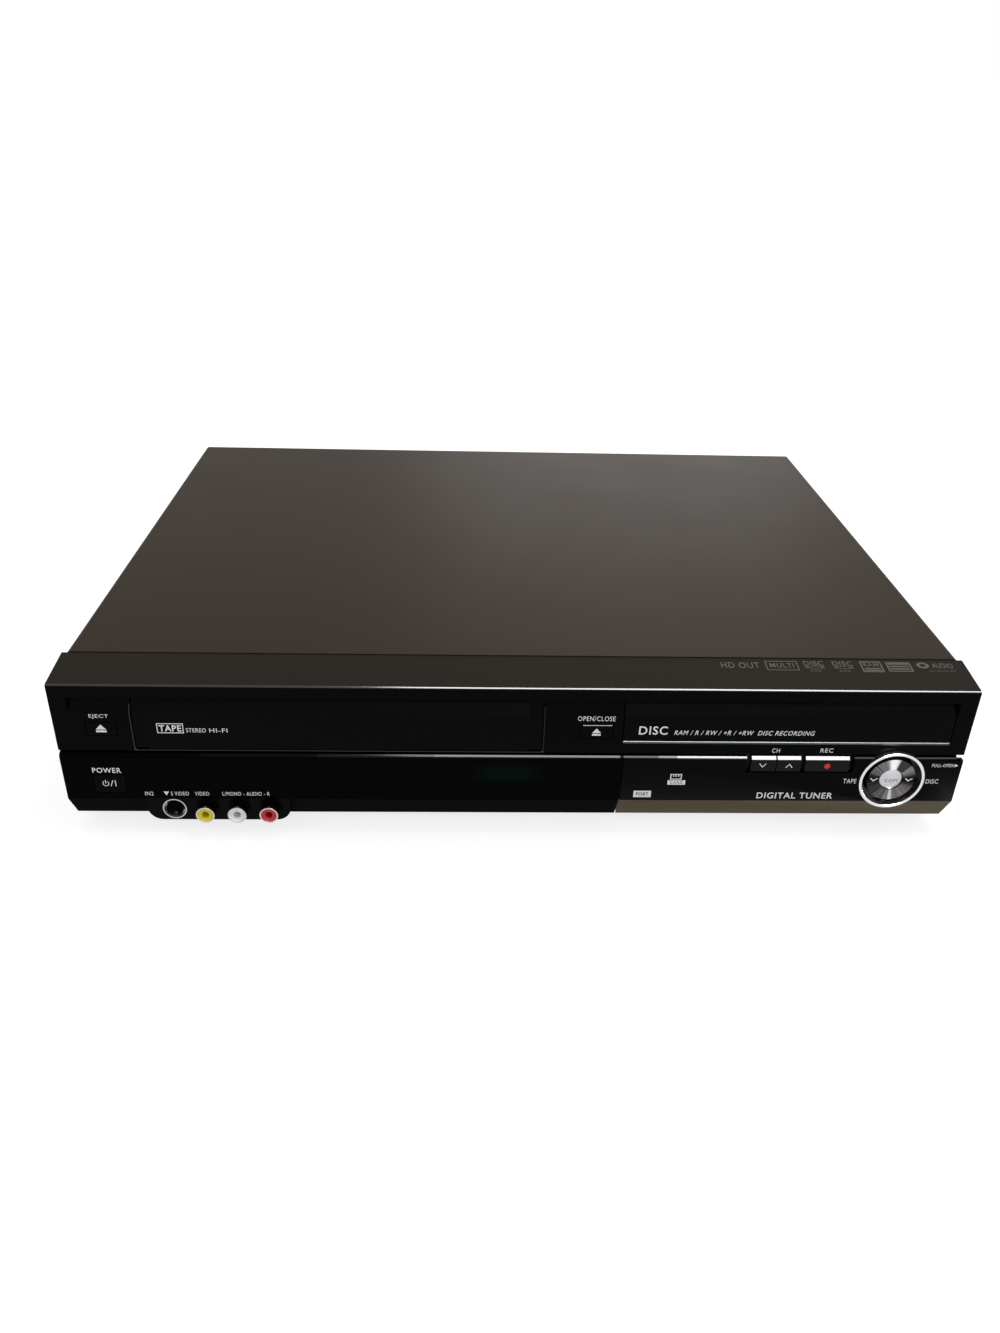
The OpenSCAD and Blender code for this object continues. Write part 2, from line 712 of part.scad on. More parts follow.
module front_door() color("#09090b") at_face() {
    right = lower_half_w;
    lug_r = 2.4;
    difference() {
        union() {
            along_x(door_x0, right) {
                panel_section(lower_crease);
                polygon([[-lower_proud, lower_crease + 0.1], [-lower_proud, lower_crease], [chamfer_back, foot_h],
                    [chamfer_back + 1.9, foot_h + 1.1], [panel_back, lower_crease - 0.4],
                    [panel_back, lower_crease + 0.1]]);
            }
            // lugs with moulded pins
            for (x = [54.6, 206.4]) along_x(x, x + 2.6) {
                translate([door_axis_y, door_axis_z]) circle(lug_r);
                polygon([[door_axis_y - 1, door_axis_z + 2.2], [door_axis_y + 1, door_axis_z - 2.2],
                    [6.2, 9.6], [2.4, 16.5]]);
            }
            rod_x([57, 60.4], door_axis_y, door_axis_z, 1.2);
            rod_x([203.1, 206.6], door_axis_y, door_axis_z, 1.2);
        }
        // window round the buttons and hole for the dial's ring
        slab(notch_x, [-3, 6], [notch_z, lower_top + 1]);
        rod_y(dial_x, [-3, 8], dial_z, ring_r);
        // finger notch at the top corner
        slab([lower_half_w - 3, lower_half_w + 1], [-3, 6], [lower_top - 1.2, lower_top + 1]);
    }
}

module dial_ring() color("#e3e4e6") at_face() {
    width = 1.45;
    bevel = 0.3;
    front = -lower_proud - 1.5;
    back = 1.5;
    translate([dial_x, front, dial_z]) rotate([-90, 0, 0]) rotate_extrude() {
        translate([ring_r - width, 0]) polygon([[0, back - front], [0, bevel], [bevel, 0], [width - bevel, 0],
            [width, bevel], [width, back - front]]);
    }
}

module dial() color("#a9abae") at_face() {
    grooves = 12;
    disc_t = 5.2;
    stem_l = 22.4;
    difference() {
        union() {
            rod_y(dial_x, [dial_front, dial_front + disc_t], dial_z, dial_r);
            rod_y(dial_x, [dial_front, dial_front + stem_l], dial_z, 5.6);
            // rocking pin through the stem
            rod_z(dial_x, dial_pin_y, [dial_z - 9.5, dial_z + 9.5], 1);
        }
        for (i = [0:grooves - 1]) translate([dial_x, dial_front, dial_z])
            rotate([0, i * 360 / grooves + 15, 0]) translate([6.4, -1, -0.12]) cube([7, 1.3, 0.24]);
        rod_y(dial_x, [dial_front - 1, dial_front + 1.2], dial_z, cap_r + 0.1);
    }
}

module dial_cap() color("#c8c9cb") at_face() {
    dome = 12;
    rise = dome - sqrt(dome * dome - cap_r * cap_r);
    translate([dial_x, dial_front - 0.8, dial_z]) rotate([-90, 0, 0]) rotate_extrude() intersection() {
        translate([0, dome]) circle(dome);
        square([cap_r, rise + 0.5]);
    }
}

module front_button(x, z, front, back, stem_back) {
    slab(x, [front, back], z);
    cx = middle(x);
    cz = middle(z);
    slab([cx - 3, cx + 3], [back, stem_back], [cz - 2.4, cz + 2.4]);
}

module power_button() color("#17171a") at_face() {
    front_button(power_x, power_z, -lower_proud, 4.5, 17.5);
}

module eject_button() color("#1c1c1f") at_face() {
    front_button(eject_x, small_z, 0, 5.5, 9.6);
}

module open_close_button() color("#1c1c1f") at_face() {
    front_button(open_x, small_z, 0, 5.5, 9.6);
}

// A key whose top edge follows the rounding of the door
module top_key(x) {
    low = 38;
    cx = middle(x);
    facet_h = 1.7;
    facet_d = 1.5;
    along_x(x[0], x[1]) polygon([[-lower_proud, low], [-lower_proud, lower_top - facet_h],
        [facet_d - lower_proud, lower_top], [panel_t - lower_proud, lower_top], [panel_t - lower_proud, low]]);
    slab([cx - 3, cx + 3], [1, 17.4], [40, 43.4]);
}

module ch_down_button() color("#2b2b2e") at_face() top_key(ch_down_x);
module ch_up_button() color("#2b2b2e") at_face() top_key(ch_up_x);
module rec_button() color("#2b2b2e") at_face() top_key(rec_x);

// ---------- Tape flap ----------

module vhs_flap() color("#19191b") at_face() {
    t = 2.2;
    x0 = flap_x0 + 0.4;
    x1 = flap_x1 - 0.4;
    margin = 6.4;
    step = 0.7;
    top = scoop_top - 0.4;
    difference() {
        along_x(x0, x1) polygon([[0, flap_low], [0, crease_z], [scoop_d, top], [scoop_d + 2.1, top - 0.3],
            [t + 0.2, crease_z - 1], [t, flap_low + 0.6]]);
        for (x = [[x0 - 1, x0 + margin], [x1 - margin, x1 + 1]]) {
            slab(x, [-1, step], [flap_low - 1, crease_z]);
            along_x(x[0], x[1]) polygon([[-1, crease_z - 0.1], [step, crease_z - 0.1],
                [scoop_d + 0.6, top + 0.1], [-1, top + 0.1]]);
        }
    }
    // arms up to the pins behind the top band
    for (x = [x0, x1 - 2]) along_x(x, x + 2) {
        polygon([[t, crease_z - 4], [scoop_d - 0.4, top - 3], [4, flap_axis_z], [8, flap_axis_z],
            [8, top - 3], [t + 2.4, crease_z - 4]]);
        translate([flap_axis_y, flap_axis_z]) circle(2);
    }
    rod_x([flap_x0 - 2.8, x0 + 1], flap_axis_y, flap_axis_z, 1.2);
    rod_x([x1 - 1, flap_x1 + 2.8], flap_axis_y, flap_axis_z, 1.2);
    rod_x([x0 + 1, x0 + 8], flap_axis_y, flap_axis_z, 1.2);
}

// Coil round the left pin, its tail against the roof of the moulding
module flap_spring() color("#9b9da0") at_face() {
    wire = 0.3;
    coil = 1.75;
    turns = 7;
    steps = 6;
    translate([flap_x0 + 3.2, flap_axis_y, flap_axis_z]) rotate([0, 90, 0]) rotate_extrude()
        polygon(concat([[coil - wire, 2 * wire * turns], [coil - wire, 0]],
            [for (i = [0:steps * turns]) [coil + wire * abs(sin(i * 180 / steps)), i * 2 * wire / steps]]));
    rod_z(flap_x0 + 3.2 + wire, flap_axis_y + 1.6, [flap_axis_z, edge_z - 1.2], wire);
}

// ---------- Disc tray ----------

module tray_front() color("#17171a") at_face() {
    x0 = tray_x0 + tray_gap;
    x1 = tray_x1 - tray_gap;
    low = upper_bottom + 6.1;
    top = scoop_top - 0.4;
    t = 2.4;
    along_x(x0, x1) polygon([[0.8, low], [0.8, low + 1.4], [0, low + 1.4], [0, crease_z], [scoop_d, top],
        [scoop_d + 1.6, top], [t, crease_z - 1], [t, low]]);
    // sockets that snap on the tray
    for (x = [drive_x - 50, drive_x + 42]) slab([x, x + 8], [t - 0.2, 4], [tray_z + 0.5, tray_z + 6.5]);
}

module tray_trim() color("#e6e7e9") at_face() {
    low = upper_bottom + 6.1;
    h = 1.4;
    proud = 0.6;
    along_x(tray_x0 + tray_gap, tray_x1 - tray_gap) difference() {
        translate([-proud, low]) square([proud + 0.8, h]);
        corner_cut(-proud, low, 1, 1, 0.5);
        corner_cut(-proud, low + h, 1, -1, 0.5);
    }
}

module disc_tray() color("#232325") at_face() {
    disc_r = 61;
    small_disc_r = 41;
    hole_r = 21;
    y0 = 4;
    rack_x = gear_x - gear_r;
    pitch = 2 * PI * gear_r / gear_teeth;
    m = 2 * gear_r / gear_teeth;
    difference() {
        slab([drive_x - tray_half, drive_x + tray_half], [y0, tray_y1], [tray_z, tray_z + tray_t]);
        rod_z(drive_x, disc_y, [tray_z + 4, tray_z + 10], disc_r);
        rod_z(drive_x, disc_y, [tray_z + 2.4, tray_z + 10], small_disc_r);
        rod_z(drive_x, disc_y, [tray_z - 1, tray_z + 10], hole_r);
        slab([drive_x - hole_r, drive_x + 31.5], [disc_y, disc_y + 68], [tray_z - 1, tray_z + 10]);
        // finger scoops beside the disc, and a hollow underside
        for (s = [-1, 1]) rod_z(drive_x + s * 60, y0 + 18, [tray_z + 3, tray_z + 10], 14);
        for (s = [-1, 1]) slab(s < 0 ? [drive_x - 46, drive_x - 24] : [drive_x + 34, drive_x + 62],
            [y0 + 4, tray_y1 - 6], [tray_z - 1, tray_z + 1]);
    }
    // rack under the left side, facing the loading gear
    translate([0, 0, tray_z - 2.4]) linear_extrude(2.8) {
        translate([rack_x - 4.4, y0 + 2]) square([4.4 - 1.15 * m, tray_teeth * pitch + 2]);
        for (i = [0:tray_teeth - 1]) translate([rack_x, gear_y + (i - 3.5) * pitch])
            polygon([[-1.2 * m, -0.28 * pitch], [0.75 * m, -0.1 * pitch], [0.75 * m, 0.1 * pitch],
                [-1.2 * m, 0.28 * pitch]]);
    }
}

// ---------- Disc drive ----------

module drive_housing() color("#2a2a2c") at_face() {
    x0 = drive_x - drive_half;
    x1 = drive_x + drive_half;
    side = 4;
    side_top = 68;
    rail_top = tray_z - gap;
    y0 = 12;
    y1 = 190;
    step_y = 25.6;
    step_z = 49.2;
    pin_r = 1.56;
    difference() {
        slab([x0, x1], [step_y, y1], [floor_z, floor_z + 2]);
        slab([drive_x - 33, drive_x + 33], [58, 173], [floor_z - 1, floor_z + 3]);
        rod_z(motor_x, motor_y, [floor_z - 1, floor_z + 3], 3);
    }
    // front of the floor, raised to clear the moulding below it
    slab([x0, x1], [y0, step_y + 2], [step_z, step_z + 1.7]);
    slab([x0, x1], [step_y, step_y + 2], [floor_z + 1.9, step_z + 0.1]);
    for (s = [-1, 1]) {
        xs = beside(drive_x, s, drive_half - side, drive_half);
        rail_x = beside(drive_x, s, drive_half - 9.8, drive_half - side);
        slab(xs, [y0, step_y + 0.1], [step_z + 1.6, side_top]);
        slab(xs, [step_y, y1], [floor_z + 1.9, side_top]);
        // rail under the tray's edge and keepers over it
        slab(rail_x, [y0, y1 - 2], [rail_top - 1.8, rail_top]);
        for (y = [16, 120]) slab(rail_x, [y, y + 14], [tray_z + tray_t + gap, tray_z + tray_t + 2]);
        slab(xs, [disc_y - 16, disc_y + 16], [side_top, bridge_z]);
        // bearing block for the lifting traverse
        difference() {
            slab(beside(drive_x, s, 33, 37), [pivot_y - 4, pivot_y + 4], [floor_z + 2, pivot_z + 3]);
            rod_x([drive_x - 40, drive_x + 40], pivot_y, pivot_z, pin_r);
        }
    }
    slab([x0, x1], [y1 - 2, y1], [floor_z + 2, side_top]);
    // pin for the loading gear
    rod_z(gear_x, gear_y, [step_z + 1.6, tray_z - 0.6], 1.5);
}

module disc_clamp() color("#d8d9da") at_face() {
    clamp_z = bridge_z + 1.2;
    x0 = drive_x - drive_half;
    x1 = drive_x + drive_half;
    difference() {
        union() {
            slab([x0, x1], [disc_y - 14, disc_y + 14], [bridge_z, clamp_z]);
            rod_z(drive_x, disc_y, [bridge_z, clamp_z], 20);
        }
        rod_z(drive_x, disc_y, [bridge_z - 1, clamp_z + 1], 10);
    }
    // the clamp itself hangs by its rim in the bridge's hole
    rod_z(drive_x, disc_y, [clamp_z, clamp_z + 1.2], 12);
    rod_z(drive_x, disc_y, [67, clamp_z + 0.1], 9);
    difference() {
        rod_z(drive_x, disc_y, [63.4, 67.1], 14);
        rod_z(drive_x, disc_y, [63, 64.8], 8.4);
    }
}

module traverse_frame() color("#77797c") at_face() {
    half = 30;
    low = spindle_z - 8;
    difference() {
        slab([drive_x - half, drive_x + half], [64, pivot_y + 2], [low, low + 2.4]);
        slab([drive_x - 22, drive_x + 22], [disc_y + 10, 162], [low - 1, low + 4]);
    }
    // turned-up sides
    for (s = [-1, 1]) slab(beside(drive_x, s, half - 1.6, half), [86, pivot_y + 2], [low + 2.4, low + 4.6]);
    // spindle motor
    rod_z(drive_x, disc_y, [low + 2.3, spindle_z - 0.6], 12);
    rod_x([drive_x - 36, drive_x - half + 0.5], pivot_y, pivot_z, 1.5);
    rod_x([drive_x + half - 0.5, drive_x + 36], pivot_y, pivot_z, 1.5);
    // guide rods in their end blocks
    for (s = [-1, 1]) {
        rod_y(drive_x + s * guide_x, [disc_y + 9, 163], optics_z, guide_r);
        for (y = [disc_y + 8, 160.5])
            slab([drive_x + s * guide_x - 3, drive_x + s * guide_x + 3], [y, y + 4], [low + 2, 53.4]);
    }
    // bearings for the lead screw
    for (y = [disc_y + 6, 160.5]) difference() {
        slab([screw_cx - 3.4, screw_cx + 3], [y, y + 3], [low + 2, 54]);
        rod_y(screw_cx, [y - 1, y + 4], optics_z, 1.28);
    }
}

module turntable() color("#303033") at_face() {
    translate([drive_x, disc_y, spindle_z]) rotate_extrude()
        polygon([[0, 0], [15, 0], [15, 1.4], [13, 1.8], [8, 1.8], [7, 3.2], [5, 3.8], [0, 3.8]]);
}

module pickup_sled() color("#3b3c40") at_face() {
    y0 = disc_y + 15.4;
    y1 = y0 + 26;
    difference() {
        union() {
            slab([drive_x - 19.4, drive_x + 19.4], [y0, y1], [49.4, 53.6]);
            rod_z(drive_x, y0 + 10, [53.6, 54.6], 7);
            rod_z(drive_x, y0 + 10, [54.6, 55.4], 2.6);
        }
        for (s = [-1, 1]) rod_y(drive_x + s * guide_x, [y0 - 1, y1 + 1], optics_z, guide_r + 0.08);
    }
    // toothed follower that rests on the screw
    slab([drive_x + 19.2, drive_x + 23], [y0 + 8, y0 + 16], [52.6, 53.6]);
}

module lead_screw() color("#8f9194") at_face() {
    rod_y(screw_cx, [disc_y + 7, disc_y + 81], optics_z, 1.2);
    // a coarse groove, shown as rings
    pitch = 5.6;
    for (i = [0:10]) {
        y = disc_y + 13 + i * pitch;
        rod_y(screw_cx, [y, y + pitch / 2], optics_z, 1.6);
    }
    translate([screw_cx, disc_y + 10, optics_z]) rotate([-90, 0, 0]) linear_extrude(2) gear2d(14, 1.9);
}

module loading_gear() color("#e9e6dc") at_face() {
    translate([gear_x, gear_y, tray_z - 2.5]) linear_extrude(2) difference() {
        gear2d(gear_teeth, gear_r);
        circle(1.56);
    }
    // pulley under the teeth
    ring_z(gear_x, gear_y, [tray_z - 5.7, tray_z - 2.5], 8, 1.56);
}

module loading_motor() color("#9a9c9f") at_face() {
    rod_z(motor_x, motor_y, [27, floor_z], 11);
    rod_z(motor_x, motor_y, [floor_z - 0.1, 48.5], 1);
    rod_z(motor_x, motor_y, [48.4, 53.8], 3);
}

// ---------- Tape deck ----------

module post_track(r) {
    // two arcs, one each side of the drum
    spare = 4;
    sweep = post_travel + 2 * spare + 1;
    for (s = [-1, 1]) rotate(s > 0 ? post_rest - 90 - spare : spare - 90 - post_rest - sweep)
        rotate_extrude(angle = sweep) translate([r - 2.6, 0]) square([5.2, 6]);
}

module deck_plate() color("#b4b7b9") at_face() {
    difference() {
        union() {
            slab([deck_x - deck_half, deck_x + deck_half], [62, 250], [deck_z, deck_top]);
            for (s = [-1, 1])
                slab(beside(deck_x, s, deck_half - 1, deck_half), [62, 250], [deck_top, deck_z + 5]);
        }
        rod_z(deck_x, drum_y, [deck_z - 1, deck_z + 3], 24);
        translate([deck_x, drum_y, deck_z - 1]) post_track(post_path_r);
        rod_z(capstan_x, capstan_y, [deck_z - 1, deck_z + 3], 2.2);
        for (s = [-1, 1]) rod_z(deck_x + s * reel_gap, reel_y, [deck_z - 1, deck_z + 3], 1.56);
        slab([deck_x - 22, deck_x + 22], [92, 122], [deck_z - 1, deck_z + 3]);
        for (x = [deck_x - 78, deck_x + 66]) slab([x, x + 12], [66, 92], [deck_z - 1, deck_z + 3]);
        rod_z(cam_x, mode_y, [deck_z - 1, deck_z + 3], 4.2);
    }
    // pins for the pinch arm and the cam gear
    rod_z(pinch_x, pinch_y, [deck_top, 34], 2);
    rod_z(cam_x, cam_y, [deck_top, 28], 1.5);
}

module side_guides() color("#a2a5a8") at_face() {
    for (s = [-1, 1]) {
        x = beside(deck_x, s, guide_in, guide_in + 1.2);
        difference() {
            slab(x, [44, 172], [deck_z, 79]);
            along_x(x[0] - 1, x[1] + 1) {
                slot2d(84, 68, 60, 5);
                round_rect([70, 150], [30, 56], 4);
            }
        }
        slab(beside(deck_x, s, deck_half, guide_in), [64, 172], [deck_z, deck_z + 1.2]);
    }
}

// Sliders with the cross shaft that keeps them square
module holder_carriage() color("#d7d4c8") at_face() {
    shaft_y = 100;
    for (s = [-1, 1]) {
        x = beside(deck_x, s, slide_in, slide_out);
        difference() {
            slab(x, [60, 112], [46, 77]);
            along_x(x[0] - 1, x[1] + 1) round_rect([70, 102], [50, 62], 3);
        }
    }
    rod_x([deck_x - slide_in - 0.2, deck_x + slide_in + 0.2], shaft_y, 77.6, 1.6);
    for (s = [-1, 1]) rod_x(beside(deck_x, s, slide_in - 2, slide_out), shaft_y, 77, 2.4);
}

// Open basket: two sides, floor ledges, a roof with a window and a back stop
module cassette_holder() color("#c4c6c8") at_face() {
    inner = 94.6;
    t = 1;
    y = [holder_y0, holder_y1];
    top = holder_z + 28;
    for (s = [-1, 1]) {
        slab(beside(deck_x, s, inner, inner + t), y, [holder_z, top]);
        slab(beside(deck_x, s, inner - 13, inner), y, [holder_z, holder_z + 0.8]);
        // back stops
        slab(beside(deck_x, s, inner - 10, inner), [holder_y1 - t, holder_y1], [holder_z + 0.8, holder_z + 12]);
        // leaf that presses the cassette down
        slab([deck_x + s * 60 - 6, deck_x + s * 60 + 6], [holder_y0 + 16, holder_y0 + 50],
            [top - 1.6, top - 1]);
    }
    difference() {
        slab([deck_x - inner, deck_x + inner], y, [top - t, top]);
        slab([deck_x - 42, deck_x + 42], [holder_y0 + 12, holder_y1 - 12], [top - 2, top + 1]);
        slab([deck_x - 80, deck_x + 80], [holder_y0 - 1, holder_y0 + 6], [top - 2, top + 1]);
    }
}

module drum_base() color("#a9adb0") at_face() {
    translate([deck_x, drum_y, deck_top]) {
        rotate([drum_tilt, 0, 0]) {
            difference() {
                translate([0, 0, 5]) cylinder(h = 10, r = drum_r);
                // edge that the tape runs along
                translate([0, 0, 13]) rotate_extrude() translate([drum_r - 0.4, 0]) square([1, 3]);
                translate([0, 0, 4]) cylinder(h = 12, r = 3.06);
            }
        }
        for (a = [30, 150, 270]) rotate(a) translate([27, 0, 0]) cylinder(h = 8, r = 3);
    }
}

module head_drum() color("#cfd3d6") at_face() {
    translate([deck_x, drum_y, deck_top]) rotate([drum_tilt, 0, 0]) {
        translate([0, 0, 6]) cylinder(h = 10, r = 3);
        difference() {
            translate([0, 0, 15.3]) cylinder(h = 13, r = drum_r);
            translate([0, 0, 24]) difference() {
                cylinder(h = 5, r = drum_r - 5);
                translate([0, 0, -1]) cylinder(h = 7, r = 10);
            }
            for (a = [45, 135, 225, 315]) rotate(a) translate([drum_r - 1.5, -2, 15]) cube([3, 4, 2]);
        }
        translate([0, 0, 23.8]) cylinder(h = 7, r = 6);
    }
}

module capstan() color("#bfc1c3") at_face() {
    translate([capstan_x, capstan_y, 0]) {
        translate([0, 0, 12]) cylinder(h = 33, r = 1.6);
        translate([0, 0, 12]) difference() {
            cylinder(h = 4, r = 24);
            translate([0, 0, 2.6]) difference() {
                cylinder(h = 2, r = 21);
                translate([0, 0, -1]) cylinder(h = 4, r = 8);
            }
        }
        translate([0, 0, 16]) cylinder(h = 2.4, r = 6);
    }
}

module at_pinch_rest() {
    translate([pinch_x, pinch_y, 0]) rotate(pinch_rest) translate([pinch_len, 0, 0]) children();
}

module pinch_arm() color("#9c9fa2") at_face() {
    difference() {
        union() {
            rod_z(pinch_x, pinch_y, [24, 31], 4.4);
            translate([pinch_x, pinch_y, 29]) rotate(pinch_rest) linear_extrude(2) {
                translate([0, -3.4]) square([pinch_len, 6.8]);
                translate([pinch_len, 0]) circle(4);
            }
        }
        rod_z(pinch_x, pinch_y, [20, 40], 2.06);
    }
    at_pinch_rest() translate([0, 0, 30.5]) cylinder(h = 21, r = 1.2);
    at_pinch_rest() translate([0, 0, 51.3]) cylinder(h = 1.2, r = 2.6);
}

module pinch_roller() color("#1d1d1e") at_face() at_pinch_rest() {
    difference() {
        translate([0, 0, 31.6]) cylinder(h = 19, r = 6.5);
        translate([0, 0, 30]) cylinder(h = 22, r = 1.26);
    }
}

module reel_table(x) {
    fins = 3;
    translate([x, reel_y, deck_top]) {
        translate([0, 0, 0.4]) difference() {
            cylinder(h = 3, r = 21);
            translate([0, 0, 2]) difference() {
                cylinder(h = 2, r = 18);
                translate([0, 0, -1]) cylinder(h = 4, r = 11);
            }
        }
        translate([0, 0, -deck_t - 1]) cylinder(h = 5, r = 1.5);
        translate([0, 0, 3.4]) cylinder(h = 15, r = 4.4);
        translate([0, 0, 18.4]) cylinder(h = 2, r1 = 4.4, r2 = 2);
        for (i = [0:fins - 1]) rotate(i * 360 / fins) translate([0, -0.7, 6]) cube([6.6, 1.4, 10]);
    }
}

module supply_reel() color("#e8e6df") at_face() reel_table(deck_x - reel_gap);
module take_up_reel() color("#e8e6df") at_face() reel_table(deck_x + reel_gap);

// Sled in the arc with a guide roller and a slanted pole
module loading_post(side) {
    translate([deck_x, drum_y, 0]) rotate(side * post_rest - 90) translate([post_path_r, 0, 0]) {
        translate([0, 0, deck_z - 1.2]) cylinder(h = 4.4, r = 2.2);
        translate([0, 0, deck_top + 0.3]) cylinder(h = 2.4, r = 5.2);
        translate([0, 0, deck_z - 2.4]) cylinder(h = 1.9, r = 4.4);
        translate([0, 0, deck_top + 2.6]) cylinder(h = 1.4, r = 3.6);
        translate([0, 0, deck_top + 4]) cylinder(h = 14, r = 2.4);
        translate([0, 0, deck_top + 18]) cylinder(h = 1.6, r = 3.6);
    }
}

module supply_post() color("#d9dbdd") at_face() loading_post(-1);
module take_up_post() color("#d9dbdd") at_face() loading_post(1);

// Erase head at the left, sound and control head at the right, with fixed guides
module tape_heads() color("#8a8d90") at_face() {
    top = deck_top;
    slab([deck_x - 68, deck_x - 56], [150, 159], [top, top + 4]);
    slab([deck_x - 66, deck_x - 58], [151, 157], [top + 4, top + 20]);
    rod_z(deck_x - 52, 150, [top, top + 22], 2.2);
    slab([deck_x + 38, deck_x + 50], [144, 155], [top, top + 4]);
    slab([deck_x + 40, deck_x + 48], [145, 152], [top + 4, top + 20]);
    rod_z(deck_x + 34, 146, [top, top + 22], 1.6);
}

module cam_gear() color("#efe9da") at_face() {
    translate([cam_x, cam_y, deck_top + 0.5]) {
        linear_extrude(4) difference() {
            gear2d(40, cam_r);
            circle(1.56);
            for (a = [90, 210, 330]) rotate(a) translate([8, 0]) circle(2.6);
        }
    }
}

// Flat motor under the deck with its pinion beside the cam gear
module mode_motor() color("#97999c") at_face() {
    rod_z(cam_x, mode_y, [pan_z + sheet_t + 0.8, deck_z], 9);
    rod_z(cam_x, mode_y, [deck_z - 0.1, deck_top + 5], 1);
    translate([cam_x, mode_y, deck_top + 0.5]) linear_extrude(4) gear2d(8, 3);
}

// ---------- Electronics ----------

module power_board() color("#9c7a3c") at_face() {
    top = 15.6;
    slab([-204, -92], [258, 328], [board_z, top]);
    // transformer, filter choke and smoothing capacitors
    slab([-150, -116], [268, 300], [top, top + 26]);
    slab([-144, -122], [264, 304], [top + 4, top + 22]);
    for (p = [[-176, 288, 11, 30], [-178, 266, 6, 16], [-104, 272, 6, 20], [-104, 290, 5, 18], [-104, 306, 5, 16]])
        rod_z(p[0], p[1], [top, top + p[3]], p[2]);
    // finned heat sink
    slab([-160, -116], [310, 312], [top, top + 34]);
    for (i = [0:7]) slab([-159 + i * 6, -157.6 + i * 6], [312, 322], [top, top + 34]);
}

module main_board() color("#2f5e3a") at_face() {
    top = board_top;
    slab([-84, 205], [258, 328], [board_z, top]);
    slab([30, 205], [200, 258], [board_z, top]);
    slab([84, 112], [214, 242], [top, top + 2.4]);
    slab([88, 108], [218, 238], [top + 2.4, top + 12]);
    slab([46, 66], [224, 238], [top, top + 1.6]);
    slab([0, 22], [282, 304], [top, top + 2.2]);
    for (x = [-44, -30, 120, 134], y = [270, 300]) rod_z(x, y, [top, top + 11], 4);
    for (x = [150, 160, 170]) slab([x, x + 6], [206, 222], [top, top + 6]);
    // screened tuner with its two aerial connectors
    can_x = [tuner_x - 20, tuner_x + 20];
    can_y = [262, rear_out - sheet_t];
    can_top = 66;
    inner_x = [can_x[0] + sheet_t, can_x[1] - sheet_t];
    inner_y = [can_y[0] + sheet_t, can_y[1] - sheet_t];
    difference() {
        slab(can_x, can_y, [top, can_top]);
        slab(inner_x, inner_y, [top + sheet_t, can_top + 1]);
    }
    slab(inner_x, inner_y, [can_top - sheet_t, can_top]);
    for (z = aerial_z) difference() {
        union() {
            rod_y(tuner_x, [rear_out - 3, overall_d - rca_reach], z, 4.7);
            rod_y(tuner_x, [rear_out - 0.8, rear_out + 1.6], z, 5.3);
        }
        rod_y(tuner_x, [rear_out + 1, overall_d], z, 0.8);
    }
}

module fan_frame() color("#1a1a1b") at_face() {
    y1 = rear_out - sheet_t;
    y0 = y1 - 15;
    difference() {
        slab([fan_x - fan_half, fan_x + fan_half], [y0, y1], [fan_z - fan_half, fan_z + fan_half]);
        rod_y(fan_x, [y0 - 1, y1 + 1], fan_z, 18.8);
        for (sx = [-1, 1], sz = [-1, 1]) rod_y(fan_x + sx * 16.6, [y0 - 1, y1 + 1], fan_z + sz * 16.6, 1.7);
    }
    // motor seat on four struts
    rod_y(fan_x, [y0, y0 + 1.6], fan_z, 8);
    for (a = [45:90:315]) translate([fan_x, 0, fan_z]) rotate([0, a, 0])
        slab([7, 19.4], [y0, y0 + 1.6], [-1, 1]);
    // bracket down to the board
    for (s = [-1, 1])
        slab([fan_x + s * 14 - 3, fan_x + s * 14 + 3], [y0 + 2, y1 - 2], [board_top, fan_z - fan_half]);
}

module fan_rotor() color("#232326") at_face() {
    blades = 7;
    y0 = rear_out - sheet_t - 13;
    rod_y(fan_x, [y0, y0 + 10], fan_z, 8);
    translate([fan_x, y0 + 5, fan_z]) for (i = [0:blades - 1]) rotate([0, i * 360 / blades, 0])
        translate([12.4, 0, 0]) rotate([38, 0, 0]) cube([10, 1, 10], center = true);
}

top_cover();
chassis_pan();
rear_panel();
feet();
cover_screws();
front_bezel();
lower_panel();
display_module();
front_board();
jack_holder();
svideo_sockets();
rca_sleeves();
jack_inserts();
sub_panel();
front_ports();
front_door();
dial_ring();
dial();
dial_cap();
vhs_flap();
flap_spring();
tray_front();
tray_trim();
disc_tray();
power_button();
eject_button();
open_close_button();
ch_down_button();
ch_up_button();
rec_button();
drive_housing();
traverse_frame();
turntable();
pickup_sled();
lead_screw();
disc_clamp();
loading_gear();
loading_motor();
deck_plate();
side_guides();
holder_carriage();
cassette_holder();
drum_base();
head_drum();
capstan();
pinch_arm();
pinch_roller();
supply_reel();
take_up_reel();
supply_post();
take_up_post();
tape_heads();
cam_gear();
mode_motor();
power_board();
main_board();
fan_frame();
fan_rotor();
rear_jack_block();
ac_inlet();
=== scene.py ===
import math

import bmesh
import bpy
from mathutils import Matrix, Vector


